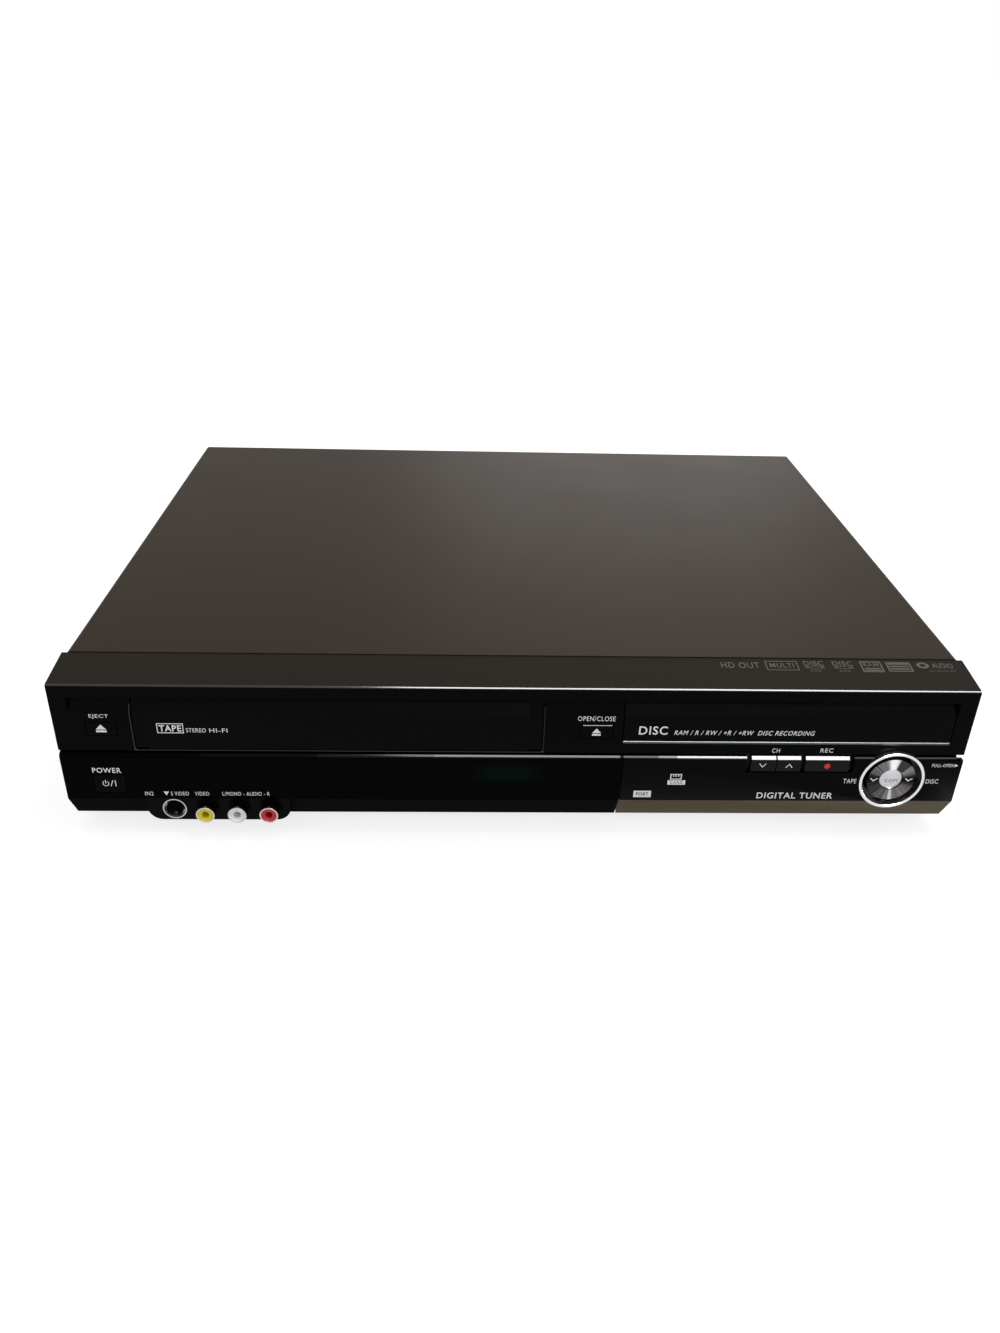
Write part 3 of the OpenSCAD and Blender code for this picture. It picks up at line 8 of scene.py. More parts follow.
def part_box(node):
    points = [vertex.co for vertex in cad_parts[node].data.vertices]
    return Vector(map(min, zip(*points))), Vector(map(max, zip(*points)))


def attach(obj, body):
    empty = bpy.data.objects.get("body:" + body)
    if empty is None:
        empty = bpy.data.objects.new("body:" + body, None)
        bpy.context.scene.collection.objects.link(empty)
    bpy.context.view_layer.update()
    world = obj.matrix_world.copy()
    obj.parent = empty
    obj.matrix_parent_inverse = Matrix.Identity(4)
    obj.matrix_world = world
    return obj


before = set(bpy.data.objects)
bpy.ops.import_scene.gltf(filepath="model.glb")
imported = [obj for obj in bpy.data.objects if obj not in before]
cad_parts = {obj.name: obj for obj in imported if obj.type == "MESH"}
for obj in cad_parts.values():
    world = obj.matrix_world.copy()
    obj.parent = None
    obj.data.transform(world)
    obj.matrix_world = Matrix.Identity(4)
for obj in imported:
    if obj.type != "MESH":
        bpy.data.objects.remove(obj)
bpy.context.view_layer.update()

# ---------- Camera ----------
# The view is from the front, a little left of the middle and about half a metre away. It looks down
# by thirty degrees through a lens of 28 mm.
MM = 0.001
CAMERA_PLACE = Vector((-0.02795, -0.57916, 0.32764))
CAMERA_TURN, CAMERA_DIP, CAMERA_ROLL = -2.493, -29.560, -1.725
IMAGE_HEIGHT = 1333
FOCAL_PIXELS = 1047.5
SENSOR = 36.0

turn = (Matrix.Rotation(math.radians(CAMERA_TURN), 3, "Z")
        @ Matrix.Rotation(math.radians(CAMERA_DIP), 3, "X")
        @ Matrix.Rotation(math.radians(CAMERA_ROLL), 3, "Y"))
camera_data = bpy.data.cameras.new("camera")
camera_data.sensor_width = SENSOR
camera_data.lens = FOCAL_PIXELS / IMAGE_HEIGHT * SENSOR
camera_data.clip_start = 0.01
camera = bpy.data.objects.new("camera", camera_data)
camera.matrix_world = Matrix.Translation(CAMERA_PLACE) @ Matrix(
    (turn.col[0], turn.col[2], -turn.col[1])).transposed().to_4x4()
bpy.context.scene.collection.objects.link(camera)
bpy.context.scene.camera = camera


# ---------- Floor, room and lamps ----------
# A seamless pale paper sweep under a soft white room. One wide softbox hangs over the right side; a
# strip behind and a panel overhead are seen only as gleams on the cover and on polished edges.
def srgb(text):
    """A colour written as sRGB hex, turned to linear red, green, blue and alpha."""
    parts = [int(text[i:i + 2], 16) / 255 for i in (1, 3, 5)]
    return [p / 12.92 if p <= 0.04045 else ((p + 0.055) / 1.055) ** 2.4 for p in parts] + [1.0]


def add(tree, kind, inputs=None, **settings):
    """Adds a node with its settings, and sets or links its inputs."""
    made = tree.nodes.new("ShaderNode" + kind)
    for name, value in settings.items():
        setattr(made, name, value)
    for name, value in (inputs or {}).items():
        if isinstance(value, bpy.types.NodeSocket):
            tree.links.new(value, made.inputs[name])
        else:
            made.inputs[name].default_value = value
    return made


def calc(tree, operation, *values):
    """The result of one step of arithmetic on sockets or numbers."""
    return add(tree, "Math", dict(enumerate(values)), operation=operation).outputs[0]


def new_material(name):
    """A material with an empty node tree and its output node."""
    material = bpy.data.materials.new(name)
    material.use_nodes = True
    tree = material.node_tree
    tree.nodes.clear()
    return material, tree, add(tree, "OutputMaterial")


FLOOR_SIDE = 30.0
FLOOR_WHITE = "#f4f4f4"
SHADOW_GREY, WHITE_PART = "#b4b4b4", 0.78
paper, paper_tree, paper_out = new_material("white paper sweep")
path = add(paper_tree, "LightPath")
seen = calc(paper_tree, "MAXIMUM", path.outputs["Is Glossy Ray"], path.outputs["Is Transmission Ray"])
paper_shade = add(paper_tree, "BsdfDiffuse", {"Color": srgb(FLOOR_WHITE)})
paper_glow = add(paper_tree, "Emission", {"Color": (1, 1, 1, 1), "Strength": 1.0})
paper_mix = add(paper_tree, "MixShader", {0: seen, 1: paper_shade.outputs[0], 2: paper_glow.outputs[0]})
shadow_part = add(paper_tree, "BsdfDiffuse", {"Color": srgb(SHADOW_GREY)})
lit_part = add(paper_tree, "Emission", {"Color": (1, 1, 1, 1), "Strength": WHITE_PART})
paper_view = add(paper_tree, "AddShader", {0: shadow_part.outputs[0], 1: lit_part.outputs[0]})
paper_all = add(paper_tree, "MixShader", {0: path.outputs["Is Camera Ray"], 1: paper_mix.outputs[0],
                                          2: paper_view.outputs[0]})
paper_tree.links.new(paper_all.outputs[0], paper_out.inputs["Surface"])

floor_mesh = bpy.data.meshes.new("floor")
half = FLOOR_SIDE / 2
corners = [(-half, -half, 0), (half, -half, 0), (half, half, 0), (-half, half, 0)]
floor_mesh.from_pydata(corners, [], [(0, 1, 2, 3)])
floor_mesh.materials.append(paper)
floor = bpy.data.objects.new("floor", floor_mesh)
bpy.context.scene.collection.objects.link(floor)

ROOM_LEVEL = 0.62
world = bpy.data.worlds.new("room")
bpy.context.scene.world = world
world.use_nodes = True
room = world.node_tree
room.nodes.clear()
room_path = add(room, "LightPath").outputs
room_seen = calc(room, "MAXIMUM", room_path["Is Camera Ray"], room_path["Is Glossy Ray"])
room_clear = calc(room, "MAXIMUM", room_seen, room_path["Is Transmission Ray"])
room_level = add(room, "MapRange", {"Value": room_clear, "To Min": ROOM_LEVEL, "To Max": 1.0})
room_light = add(room, "Background", {"Color": (1, 1, 1, 1), "Strength": room_level.outputs[0]})
add(room, "OutputWorld", {"Surface": room_light.outputs[0]})


def lamp(name, place, target, width, depth, radiance, gleam_only=False):
    """A rectangular area lamp that faces its target; its level is what a mirror would show of it."""
    data = bpy.data.lights.new(name, "AREA")
    data.shape = "RECTANGLE"
    data.size, data.size_y, data.energy = width, depth, radiance * math.pi * width * depth
    made = bpy.data.objects.new(name, data)
    made.matrix_world = Matrix.Translation(place) @ (
        Vector(target) - Vector(place)).to_track_quat("-Z", "Y").to_matrix().to_4x4()
    made.visible_diffuse = not gleam_only
    bpy.context.scene.collection.objects.link(made)


lamp("softbox", (0.50, 0.10, 1.50), (0.05, 0, 0.05), 0.90, 0.45, 6)
lamp("rear strip", (0.40, 2.00, 0.60), (0.05, 0.10, 0.08), 1.00, 0.50, 2.5, gleam_only=True)
lamp("ceiling panel", (0.50, -0.95, 1.60), (0.50, -0.95, 0), 1.34, 1.90, 22, gleam_only=True)


# ---------- Top cover ----------
# One sheet of mild steel, folded over the top and both sides and sprayed with a warm near-black
# satin paint. Its fine grain takes the gloss down and it is held by seven screws.
COAT_ROUGHNESS = 0.12
CLOUD_M, UNEVEN = 1 / 18, 0.08


def finish(name, colour, roughness, grain_mm=0.4, bump_mm=0.01, tone=0.08, metallic=0.0, specular=0.5,
           coat=0.0):
    """A surface with a fine grain: small changes of tone and roughness, and a bump of real depth.
    The colour may be a function that adds nodes and gives back the colour's socket, and so may the
    roughness and the weight of a gloss coat."""
    material, tree, out = new_material(name)
    place = add(tree, "TexCoord").outputs["Object"]
    grain = add(tree, "TexNoise", {"Vector": place, "Scale": 1 / (grain_mm * MM), "Detail": 3.0})
    cloud = add(tree, "TexNoise", {"Vector": place, "Scale": 1 / CLOUD_M, "Detail": 2.0})
    shade = add(tree, "MapRange", {"Value": cloud.outputs["Fac"], "To Min": 1 - tone, "To Max": 1 + tone})
    dye = add(tree, "Mix", {0: 1.0, 6: colour(tree, place) if callable(colour) else srgb(colour),
                            7: shade.outputs[0]}, data_type="RGBA", blend_type="MULTIPLY")
    if callable(roughness):
        dull = roughness(tree, place)
    else:
        dull = add(tree, "MapRange", {"Value": cloud.outputs["Fac"], "To Min": roughness * (1 - UNEVEN),
                                      "To Max": min(1.0, roughness * (1 + UNEVEN))}).outputs[0]
    relief = add(tree, "Bump", {"Height": grain.outputs["Fac"], "Distance": bump_mm * MM, "Strength": 1.0})
    shader = add(tree, "BsdfPrincipled", {
        "Base Color": dye.outputs[2], "Roughness": dull, "Metallic": metallic,
        "Normal": relief.outputs["Normal"], "Specular IOR Level": specular,
        "Coat Weight": coat(tree, place) if callable(coat) else coat, "Coat Roughness": COAT_ROUGHNESS})
    tree.links.new(shader.outputs[0], out.inputs["Surface"])
    return material


WELD_MM, FLAT_DEGREES, EDGE_DEGREES, CRISP_DEGREES = 0.002, 0.5, 32, 35


def dress(node, material, edge_mm=0.25):
    """Gives a CAD node its finish and softens its edges as moulding, folding or tumbling does."""
    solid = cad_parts[node]
    solid.data.materials.clear()
    solid.data.materials.append(material)
    weld = solid.modifiers.new("weld", "WELD")
    weld.merge_threshold = WELD_MM * MM
    if edge_mm:
        flat = solid.modifiers.new("flat", "DECIMATE")
        flat.decimate_type = "DISSOLVE"
        flat.angle_limit = math.radians(FLAT_DEGREES)
        soft = solid.modifiers.new("soft edges", "BEVEL")
        soft.width = edge_mm * MM
        soft.segments = 2
        soft.limit_method = "ANGLE"
        soft.angle_limit = math.radians(EDGE_DEGREES)
    for face in solid.data.polygons:
        face.use_smooth = True
    split = solid.modifiers.new("crisp", "EDGE_SPLIT")
    split.split_angle = math.radians(CRISP_DEGREES)
    even = solid.modifiers.new("even shading", "WEIGHTED_NORMAL")
    even.keep_sharp = True


COVER_PAINT = "#2f2418"
dress("top_cover", finish("satin paint on steel", COVER_PAINT, 0.42, grain_mm=0.5, bump_mm=0.004, tone=0.04,
                          specular=0.05), 0.2)
dress("cover_screws", finish("blackened steel", "#1c1c1d", 0.4, metallic=0.6), 0.1)


# ---------- Floor pan, rear panel and feet ----------
# The pan and the brackets are zinc-plated sheet with its faint blue-yellow cast; the rear panel is
# coated dark grey; the feet are moulded in black and have a flat matt ring.
zinc = finish("bright zinc-plated steel", "#a4a7a6", 0.36, grain_mm=2.5, bump_mm=0.004, tone=0.12,
              metallic=1.0)
dress("chassis_pan", zinc, 0.15)
dress("rear_panel", finish("dark grey coated steel", "#2f3032", 0.5, grain_mm=0.5, bump_mm=0.008), 0.15)
dress("feet", finish("black moulded foot", "#161616", 0.7, grain_mm=0.6, bump_mm=0.02), 0.2)


# ---------- Front moulding ----------
# One large ABS moulding with a scooped recess. Its top carries on the cover's satin finish in a lighter warm
# tone that is partly painted sheen, while its face has a finer grain and looks bluish black.
FACE_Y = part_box("eject_button")[0].y
TOP_TONE_WITH_PAINTED_SHEEN, BLUE_BLACK, BLACK_FOOT = "#28231d", "#040506", "#060607"
SATIN_ABOVE, SATIN_BELOW = 82.65 * MM, 20.5 * MM
CHAMFER_FACING = -0.2
FINE_GLOSS, SATIN, MATT = 0.2, 0.42, 0.95


def blend(tree, part, first, second):
    """The first colour where the part is 0, the second where it is 1. Each is hex or a socket."""
    first, second = (srgb(colour) if isinstance(colour, str) else colour for colour in (first, second))
    return add(tree, "Mix", {0: part, 6: first, 7: second}, data_type="RGBA").outputs[2]


def in_satin(tree, place):
    """1 above the front's upper edge, and 1 on the chamfer below its crease, else 0."""
    height = add(tree, "SeparateXYZ", {0: place}).outputs["Z"]
    facing = add(tree, "SeparateXYZ", {0: add(tree, "TexCoord").outputs["Normal"]}).outputs["Y"]
    high = calc(tree, "GREATER_THAN", height, SATIN_ABOVE)
    low = calc(tree, "LESS_THAN", height, SATIN_BELOW)
    return high, calc(tree, "MULTIPLY", low, calc(tree, "LESS_THAN", facing, CHAMFER_FACING))


def front_tone(face, top, foot):
    """A colour with one tone on the face, one on the satin top and one on the chamfer."""
    def tone(tree, place):
        high, low = in_satin(tree, place)
        return blend(tree, low, blend(tree, high, face, top), foot)
    return tone


def front_gloss(face, top, foot):
    """A roughness with one value on the face, one on the satin top and one on the chamfer."""
    def dull(tree, place):
        high, low = in_satin(tree, place)
        upper = add(tree, "MapRange", {"Value": high, "To Min": face, "To Max": top})
        return add(tree, "Mix", {0: low, 2: upper.outputs[0], 3: foot}, data_type="FLOAT").outputs[0]
    return dull


def polished(*edges):
    """The weight of the gloss coat, which lies only on edges that are polished. In millimetres, each
    edge has its heights, its stretch across and how far behind the face it reaches; then its weight."""
    def mask(tree, place):
        parts = add(tree, "SeparateXYZ", {0: place}).outputs
        total = 0.0
        for heights, stretch, behind, weight in edges:
            part = calc(tree, "LESS_THAN", parts["Y"], FACE_Y + behind * MM)
            for axis, (start, end) in (("Z", heights), ("X", stretch)):
                middle, half_way = (start + end) / 2 * MM, (end - start) / 2 * MM
                part = calc(tree, "MULTIPLY", part, calc(tree, "COMPARE", parts[axis], middle, half_way))
            total = calc(tree, "MULTIPLY_ADD", part, weight, total)
        return total
    return mask


UPPER_EDGE, UPPER_DEPTH, WHOLE_WIDTH = (82.05, 82.75), 1.2, (-216, 216)
FLAP_PIN, RIM, RIM_BELOW, RIM_END, OVERLAP, EDGE_DEPTH = 2.8, 0.4, 0.9, 8, 0.1, 2.0
flap_low, flap_high = (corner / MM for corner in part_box("vhs_flap"))
slot_left, slot_right = flap_low.x + FLAP_PIN, flap_high.x - FLAP_PIN
under_flap = (flap_low.z - RIM_BELOW, flap_low.z + OVERLAP)
beside_flap = (flap_low.z + OVERLAP, flap_high.z - RIM_END)
# The top's lighter warm tone is partly painted sheen; the face and the chamfer keep the moulding's own
# near-black.
moulding = finish("grained ABS moulding", front_tone(BLUE_BLACK, TOP_TONE_WITH_PAINTED_SHEEN, BLACK_FOOT),
                  front_gloss(FINE_GLOSS, SATIN, MATT), grain_mm=0.35, bump_mm=0.002, tone=0.05,
                  specular=0.028, coat=polished(
                      (UPPER_EDGE, WHOLE_WIDTH, UPPER_DEPTH, 1.0),
                      (under_flap, (slot_left - RIM, slot_right + RIM), EDGE_DEPTH, 0.9),
                      (beside_flap, (slot_left - RIM, slot_left + OVERLAP), EDGE_DEPTH, 0.9),
                      (beside_flap, (slot_right - OVERLAP, slot_right + RIM), EDGE_DEPTH, 0.5)))
dress("front_bezel", moulding, 0.3)


# ---------- Lower panel, display and front door ----------
# The panel and the door are smoked acrylic, polished on the face and satin on the chamfer below; the door's
# chamfer is painted a warm bronze, a painted reflection of the lit table under it.
# The display behind the panel is a dark glass with a trace of green.
SMOKE, PAINTED_TABLE_REFLECTION, FILTER_GREEN = "#020203", "#5c5440", "#03110e"
WINDOW, WINDOW_CLEAR = {"X": (-24.0, 14.0), "Z": (30.0, 42.0)}, 0.4
PANEL_EDGE, PANEL_GLOSS = (44.7, 46.2), 0.07


def window_tint(tree, place):
    """The smoked panel's colour, with the green display filter showing faintly through it."""
    parts = add(tree, "SeparateXYZ", {0: place}).outputs
    soft = 1.0
    for axis, (low, high) in WINDOW.items():
        middle, half_way = (low + high) / 2 * MM, (high - low) / 2 * MM
        away = calc(tree, "ABSOLUTE", calc(tree, "SUBTRACT", parts[axis], middle))
        inside = add(tree, "MapRange", {"Value": away, "From Min": half_way,
                                        "From Max": half_way * WINDOW_CLEAR})
        soft = calc(tree, "MULTIPLY", soft, inside.outputs[0])
    return blend(tree, soft, front_tone(SMOKE, SMOKE, BLACK_FOOT)(tree, place), FILTER_GREEN)


def edge_gleam(*stretches):
    """A gloss coat on the rounded top edge, stronger along some stretches than along others."""
    return polished(*((PANEL_EDGE, stretch, EDGE_DEPTH, weight) for stretch, weight in stretches))


# On the door, the chamfer's warm bronze is a painted reflection of the table under it, not the acrylic's own
# tone.
smoked = finish("smoked acrylic", front_tone(SMOKE, SMOKE, PAINTED_TABLE_REFLECTION),
                front_gloss(PANEL_GLOSS, PANEL_GLOSS, SATIN), grain_mm=4.0, bump_mm=0.0005, tone=0.05,
                specular=0.035,
                coat=edge_gleam(((49, 67), 0.15), ((67, 76), 0.4), ((76, 110), 1.0)))
dress("lower_panel", finish("smoked display panel", window_tint, front_gloss(PANEL_GLOSS, PANEL_GLOSS, MATT),
                            grain_mm=4.0, bump_mm=0.0005, tone=0.05, specular=0.018,
                            coat=edge_gleam(((-150, -95), 0.08), ((-95, -40), 0.2), ((-40, 48.5), 0.3))), 0.2)
dress("front_door", smoked, 0.2)
dress("display_module", finish("display glass", "#0a1a17", 0.08, bump_mm=0.0, specular=0.5), 0.2)


# ---------- Dial, ring and cap ----------
# The ring is chromed, the dial has a turned face whose light and dark sectors fan out from the middle as
# painted reflections, with a painted highlight straight up and a smaller one straight down, and the cap is a
# domed disc with a fine satin.
ring_low, ring_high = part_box("dial_ring")
DIAL_X, DIAL_Z = (ring_low.x + ring_high.x) / 2, (ring_low.z + ring_high.z) / 2
SECTORS, CELL_SCALE, STREAK_SCALE = 12, 7.3, 14.0
SHADE_FROM, SHADE_TO, UPRIGHT_FROM, UPRIGHT_TO = 0.75, 1.3, 0.15, 0.55
# Painted highlight wedges straight up and straight down: the direction, the angle of full brightness and the
# angle where it fades out, in degrees.
UPPER_HIGHLIGHT_WEDGE, LOWER_HIGHLIGHT_WEDGE = (92, 7, 19), (-84, 1, 8)


def painted_dial_reflections(tree, place):
    """Turned metal with painted reflections in sectors round the dial's middle: painted highlights straight up
    and down, painted dark reflection to the left and right.
    """
    parts = add(tree, "SeparateXYZ", {0: place}).outputs
    across, up = calc(tree, "SUBTRACT", parts["X"], DIAL_X), calc(tree, "SUBTRACT", parts["Z"], DIAL_Z)
    angle = calc(tree, "ARCTAN2", up, across)

    def highlight_wedge(degrees, full, none):
        """1 within the first angle of a direction, and falling to 0 at the second."""
        away = calc(tree, "ABSOLUTE", calc(tree, "SUBTRACT", angle, math.radians(degrees)))
        return add(tree, "MapRange", {"Value": away, "From Min": math.radians(none),
                                      "From Max": math.radians(full)}).outputs[0]

    sector = calc(tree, "ROUND", calc(tree, "MULTIPLY", angle, SECTORS / math.tau))
    cell = add(tree, "TexNoise", {"W": sector, "Scale": CELL_SCALE, "Detail": 0.0}, noise_dimensions="1D")
    streak = add(tree, "TexNoise", {"W": angle, "Scale": STREAK_SCALE, "Detail": 3.0}, noise_dimensions="1D")
    level = calc(tree, "ADD", cell.outputs["Fac"], streak.outputs["Fac"])
    shade = add(tree, "MapRange", {"Value": level, "From Min": SHADE_FROM, "From Max": SHADE_TO}).outputs[0]
    lift = calc(tree, "ABSOLUTE", calc(tree, "SINE", angle))
    upright = add(tree, "MapRange", {"Value": lift, "From Min": UPRIGHT_FROM,
                                     "From Max": UPRIGHT_TO}).outputs[0]
    # Painted dark reflection to the left and right, then painted highlight wedges straight down and straight
    # up.
    sides = blend(tree, upright, "#19181a", blend(tree, shade, "#39363a", "#8c8688"))
    low = blend(tree, highlight_wedge(*LOWER_HIGHLIGHT_WEDGE), sides, "#c9cacc")
    return blend(tree, highlight_wedge(*UPPER_HIGHLIGHT_WEDGE), low, "#f4f5f6")


dress("dial_ring", finish("bright chrome", "#e0e1e3", 0.2, bump_mm=0.0, tone=0.02, metallic=1.0), 0)
dress("dial", finish("turned alloy with painted reflections", painted_dial_reflections, 0.22, grain_mm=0.3, bump_mm=0.001, tone=0.04, metallic=1.0), 0.15)
dress("dial_cap", finish("satin alloy cap", "#c2c4c7", 0.3, grain_mm=0.2, bump_mm=0.003, tone=0.05,
                         metallic=1.0), 0)


# ---------- Push buttons ----------
# Moulded keys. The tape's eject key and the tray's key match the front moulding, the power button is
# gloss like its panel, and the three below the scoop have a polished top edge.
KEY_EDGE, KEY_STRETCH = (44.4, 46.2), (100, 160)
dress("eject_button", moulding, 0.2)
dress("open_close_button", moulding, 0.2)
dress("power_button", smoked, 0.2)
key_plastic = finish("dark grey key", "#0b0c0f", 0.1, grain_mm=0.3, bump_mm=0.0003, specular=0.1,
                     coat=polished((KEY_EDGE, KEY_STRETCH, EDGE_DEPTH, 1.0)))
for node in ("ch_down_button", "ch_up_button", "rec_button"):
    dress(node, key_plastic, 0.35)


# ---------- Tape flap and disc tray ----------
# Both faces are gloss ABS with a hint of blue; the tray's lower edge has a bright trim line, and the
# tray itself is matt black with a fine spark-eroded grain.
face_abs = finish("gloss ABS face", "#040507", 0.16, grain_mm=2.0, bump_mm=0.0005, tone=0.05, specular=0.035)
dress("vhs_flap", face_abs, 0.25)
dress("tray_front", face_abs, 0.25)
dress("tray_trim", finish("bright trim line", "#46484b", 0.3, bump_mm=0.001, metallic=0.8), 0.15)
dress("disc_tray", finish("matt black tray", "#141416", 0.45, grain_mm=0.4, bump_mm=0.01), 0.2)
dress("flap_spring", finish("spring steel wire", "#8d8f91", 0.3, bump_mm=0.0, metallic=1.0), 0)


# ---------- Front and rear sockets ----------
# Nickel-plated shells round plastic inserts that carry the usual signal colours: yellow for
# picture, white and red for sound, and green, blue and red for the component picture.
NICKEL = "#c9c8c4"
YELLOW, WHITE, RED, GREEN, BLUE = "#e3cd22", "#ecece8", "#c3202b", "#2f8a3f", "#2b4fa5"
FRONT_STEPS, COMPONENT_FROM, LOW_ROW, HIGH_ROW = (-141.9, -126.7), 32.0, 35.5, 50.5
SLEEVE_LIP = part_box("rca_sleeves")[0].y + 1.3 * MM


def signal(tree, place):
    """The insert's colour from where it stands: by x on the front, by column and row on the rear."""
    parts = add(tree, "SeparateXYZ", {0: place}).outputs

    def pick(axis, limit, below, above):
        return blend(tree, calc(tree, "GREATER_THAN", parts[axis], limit * MM), below, above)

    sound = pick("Z", LOW_ROW, RED, pick("Z", HIGH_ROW, WHITE, YELLOW))
    component = pick("Z", LOW_ROW, RED, pick("Z", HIGH_ROW, BLUE, GREEN))
    front = pick("X", FRONT_STEPS[0], YELLOW, pick("X", FRONT_STEPS[1], WHITE, RED))
    return pick("Y", 0.0, front, pick("X", COMPONENT_FROM, sound, component))


def nickel_with_painted_dark_barrels(tree, place):
    """Bright nickel on the front sockets' lips and at the rear; the front barrels carry a painted dark
    reflection.
    """
    back = add(tree, "SeparateXYZ", {0: place}).outputs["Y"]
    barrel = calc(tree, "GREATER_THAN", back, SLEEVE_LIP)
    in_front = calc(tree, "LESS_THAN", back, 0.0)
    # The front barrels' dark grey is a painted dark reflection on the nickel.
    return blend(tree, calc(tree, "MULTIPLY", barrel, in_front), NICKEL, "#2a2a2b")


dress("rca_sleeves", finish("nickel plating", nickel_with_painted_dark_barrels, 0.16, bump_mm=0.0, tone=0.03, metallic=1.0), 0.2)
dress("jack_inserts", finish("coloured insert", signal, 0.35, bump_mm=0.003, specular=0.4), 0.1)
dress("jack_holder", finish("gloss black holder", "#050506", 0.25, bump_mm=0.002, specular=0.04), 0.2)


SVIDEO_AXES, SVIDEO_CORE = ((-165.0, 14.5), (-20.0, 58.0), (-20.0, 40.0)), 4.7
PLATED_SHELLS = ((70.0, 30.0, 4.6), (96.2, 27.8, 8.4))


def off_axis(tree, place, x, z):
    """How far a place is from a socket's axis, which runs from front to back."""
    away = add(tree, "VectorMath", {0: place, 1: (x * MM, 0, z * MM)}, operation="SUBTRACT")
    flat = add(tree, "VectorMath", {0: away.outputs[0], 1: (1, 0, 1)}, operation="MULTIPLY")
    return add(tree, "VectorMath", {0: flat.outputs[0]}, operation="LENGTH").outputs["Value"]


def socket_tone(tree, place):
    """Black core inside the plated shield, told apart by the distance from the nearest axis."""
    nearest = 1.0
    for x, z in SVIDEO_AXES:
        nearest = calc(tree, "MINIMUM", nearest, off_axis(tree, place, x, z))
    return blend(tree, calc(tree, "GREATER_THAN", nearest, SVIDEO_CORE * MM), "#020203", NICKEL)


def block_tone(tree, place):
    """Black moulding, with plated metal for the shells of the coaxial and high-definition outputs."""
    plated = 0.0
    for x, z, reach in PLATED_SHELLS:
        near = calc(tree, "LESS_THAN", off_axis(tree, place, x, z), reach * MM)
        plated = calc(tree, "MAXIMUM", plated, near)
    return blend(tree, plated, "#151517", "#b9b8b4")


dress("svideo_sockets", finish("plated shield and black core", socket_tone, 0.2, bump_mm=0.0, metallic=0.8,
                               specular=0.05), 0.15)
dress("rear_jack_block", finish("black jack block", block_tone, 0.4, bump_mm=0.01), 0.2)
dress("ac_inlet", finish("mains inlet body", "#121213", 0.55, bump_mm=0.01), 0.2)


# ---------- Panel and ports behind the door ----------
# A matt black moulded panel with the tube round the dial, set behind the door. The bus and card
# ports have tinned steel shells.
dress("sub_panel", finish("matt black panel", "#101012", 0.55, grain_mm=0.5, bump_mm=0.01), 0.2)
dress("front_ports", finish("tinned shell", "#b4b5b4", 0.3, bump_mm=0.002, metallic=1.0), 0.1)


# ---------- Circuit boards ----------
# Glass-epoxy or paper board under green or brown varnish with its tracks showing through, and dark
# or tinned components standing on it.
BOARD_TOP_MM, POWER_TOP_MM, FRONT_BOARD_MM = 15.45, 15.65, FACE_Y / MM + 22.3
TUNER_CAN_MM = (159.9, FACE_Y / MM + 261.9)
# Scales are per metre: a track cell is 10 mm by 2.6 mm, and a component's colour lasts about 29 mm.
TRACK_SCALE, PART_SCALE = 90.0, 34.0
CELL_WIDTH, CELL_HEIGHT, TRACK_WIDTH = 0.9, 0.23, 0.05


def board(name, varnish, track, level_mm, axis, parts, can=None):
    """Varnished board with tracks up to its surface, and component colours above it. Right of and
    behind the can's corner stands a tinned can."""
    def paint(tree, place):
        where = add(tree, "SeparateXYZ", {0: place}).outputs
        above = calc(tree, "GREATER_THAN", where[axis], level_mm * MM)
        tracks = add(tree, "TexBrick", {"Vector": place, "Color1": srgb(varnish), "Color2": srgb(varnish),
                                        "Mortar": srgb(track), "Scale": TRACK_SCALE,
                                        "Mortar Size": TRACK_WIDTH, "Brick Width": CELL_WIDTH,
                                        "Row Height": CELL_HEIGHT})
        kinds = add(tree, "TexVoronoi", {"Vector": place, "Scale": PART_SCALE})
        tone = blend(tree, kinds.outputs["Color"], *parts)
        if can:
            right, behind = (calc(tree, "GREATER_THAN", where[i], can[i] * MM) for i in (0, 1))
            tone = blend(tree, calc(tree, "MULTIPLY", right, behind), tone, "#a9aaa8")
        return blend(tree, above, tracks.outputs[0], tone)
    return finish(name, paint, 0.45, bump_mm=0.01, tone=0.1)


dress("main_board", board("green board", "#1d4a2b", "#3b7a47", BOARD_TOP_MM, "Z", ("#17181a", "#8d9092"),
                          TUNER_CAN_MM), 0.1)
dress("power_board", board("brown board", "#7a5a2a", "#a5803f", POWER_TOP_MM, "Z",
                           ("#1a1b1e", "#5a5046")), 0.1)
dress("front_board", board("front board", "#6a4a20", "#96703a", FRONT_BOARD_MM, "Y",
                           ("#17181a", "#17181a")), 0.1)


# ---------- Disc drive ----------
# Black glass-filled mouldings, a white acetal loading gear, a cast sled with its lens and a ground
# steel lead screw. A rubber belt goes from the motor's pulley to the one under the loading gear.
drive_black = finish("glass-filled black moulding", "#1b1b1d", 0.55, grain_mm=0.5, bump_mm=0.015)
acetal = finish("white acetal", "#dfdcd0", 0.4, bump_mm=0.004)
for node in ("drive_housing", "disc_clamp", "traverse_frame", "turntable"):
    dress(node, drive_black, 0.2)
dress("loading_gear", acetal, 0.08)
dress("lead_screw", finish("ground steel", "#a8aaac", 0.22, bump_mm=0.0, metallic=1.0), 0)
dress("pickup_sled", finish("cast sled", "#85878a", 0.4, bump_mm=0.01, metallic=0.8), 0.15)
motor_can = finish("plated motor can", "#9da0a2", 0.28, bump_mm=0.002, metallic=1.0)
dress("loading_motor", motor_can, 0.2)
dress("mode_motor", motor_can, 0.2)


def at(x, y, z):
    """A place in millimetres: across, behind the upper front face, and above the table."""
    return Vector((x * MM, FACE_Y + y * MM, z * MM))


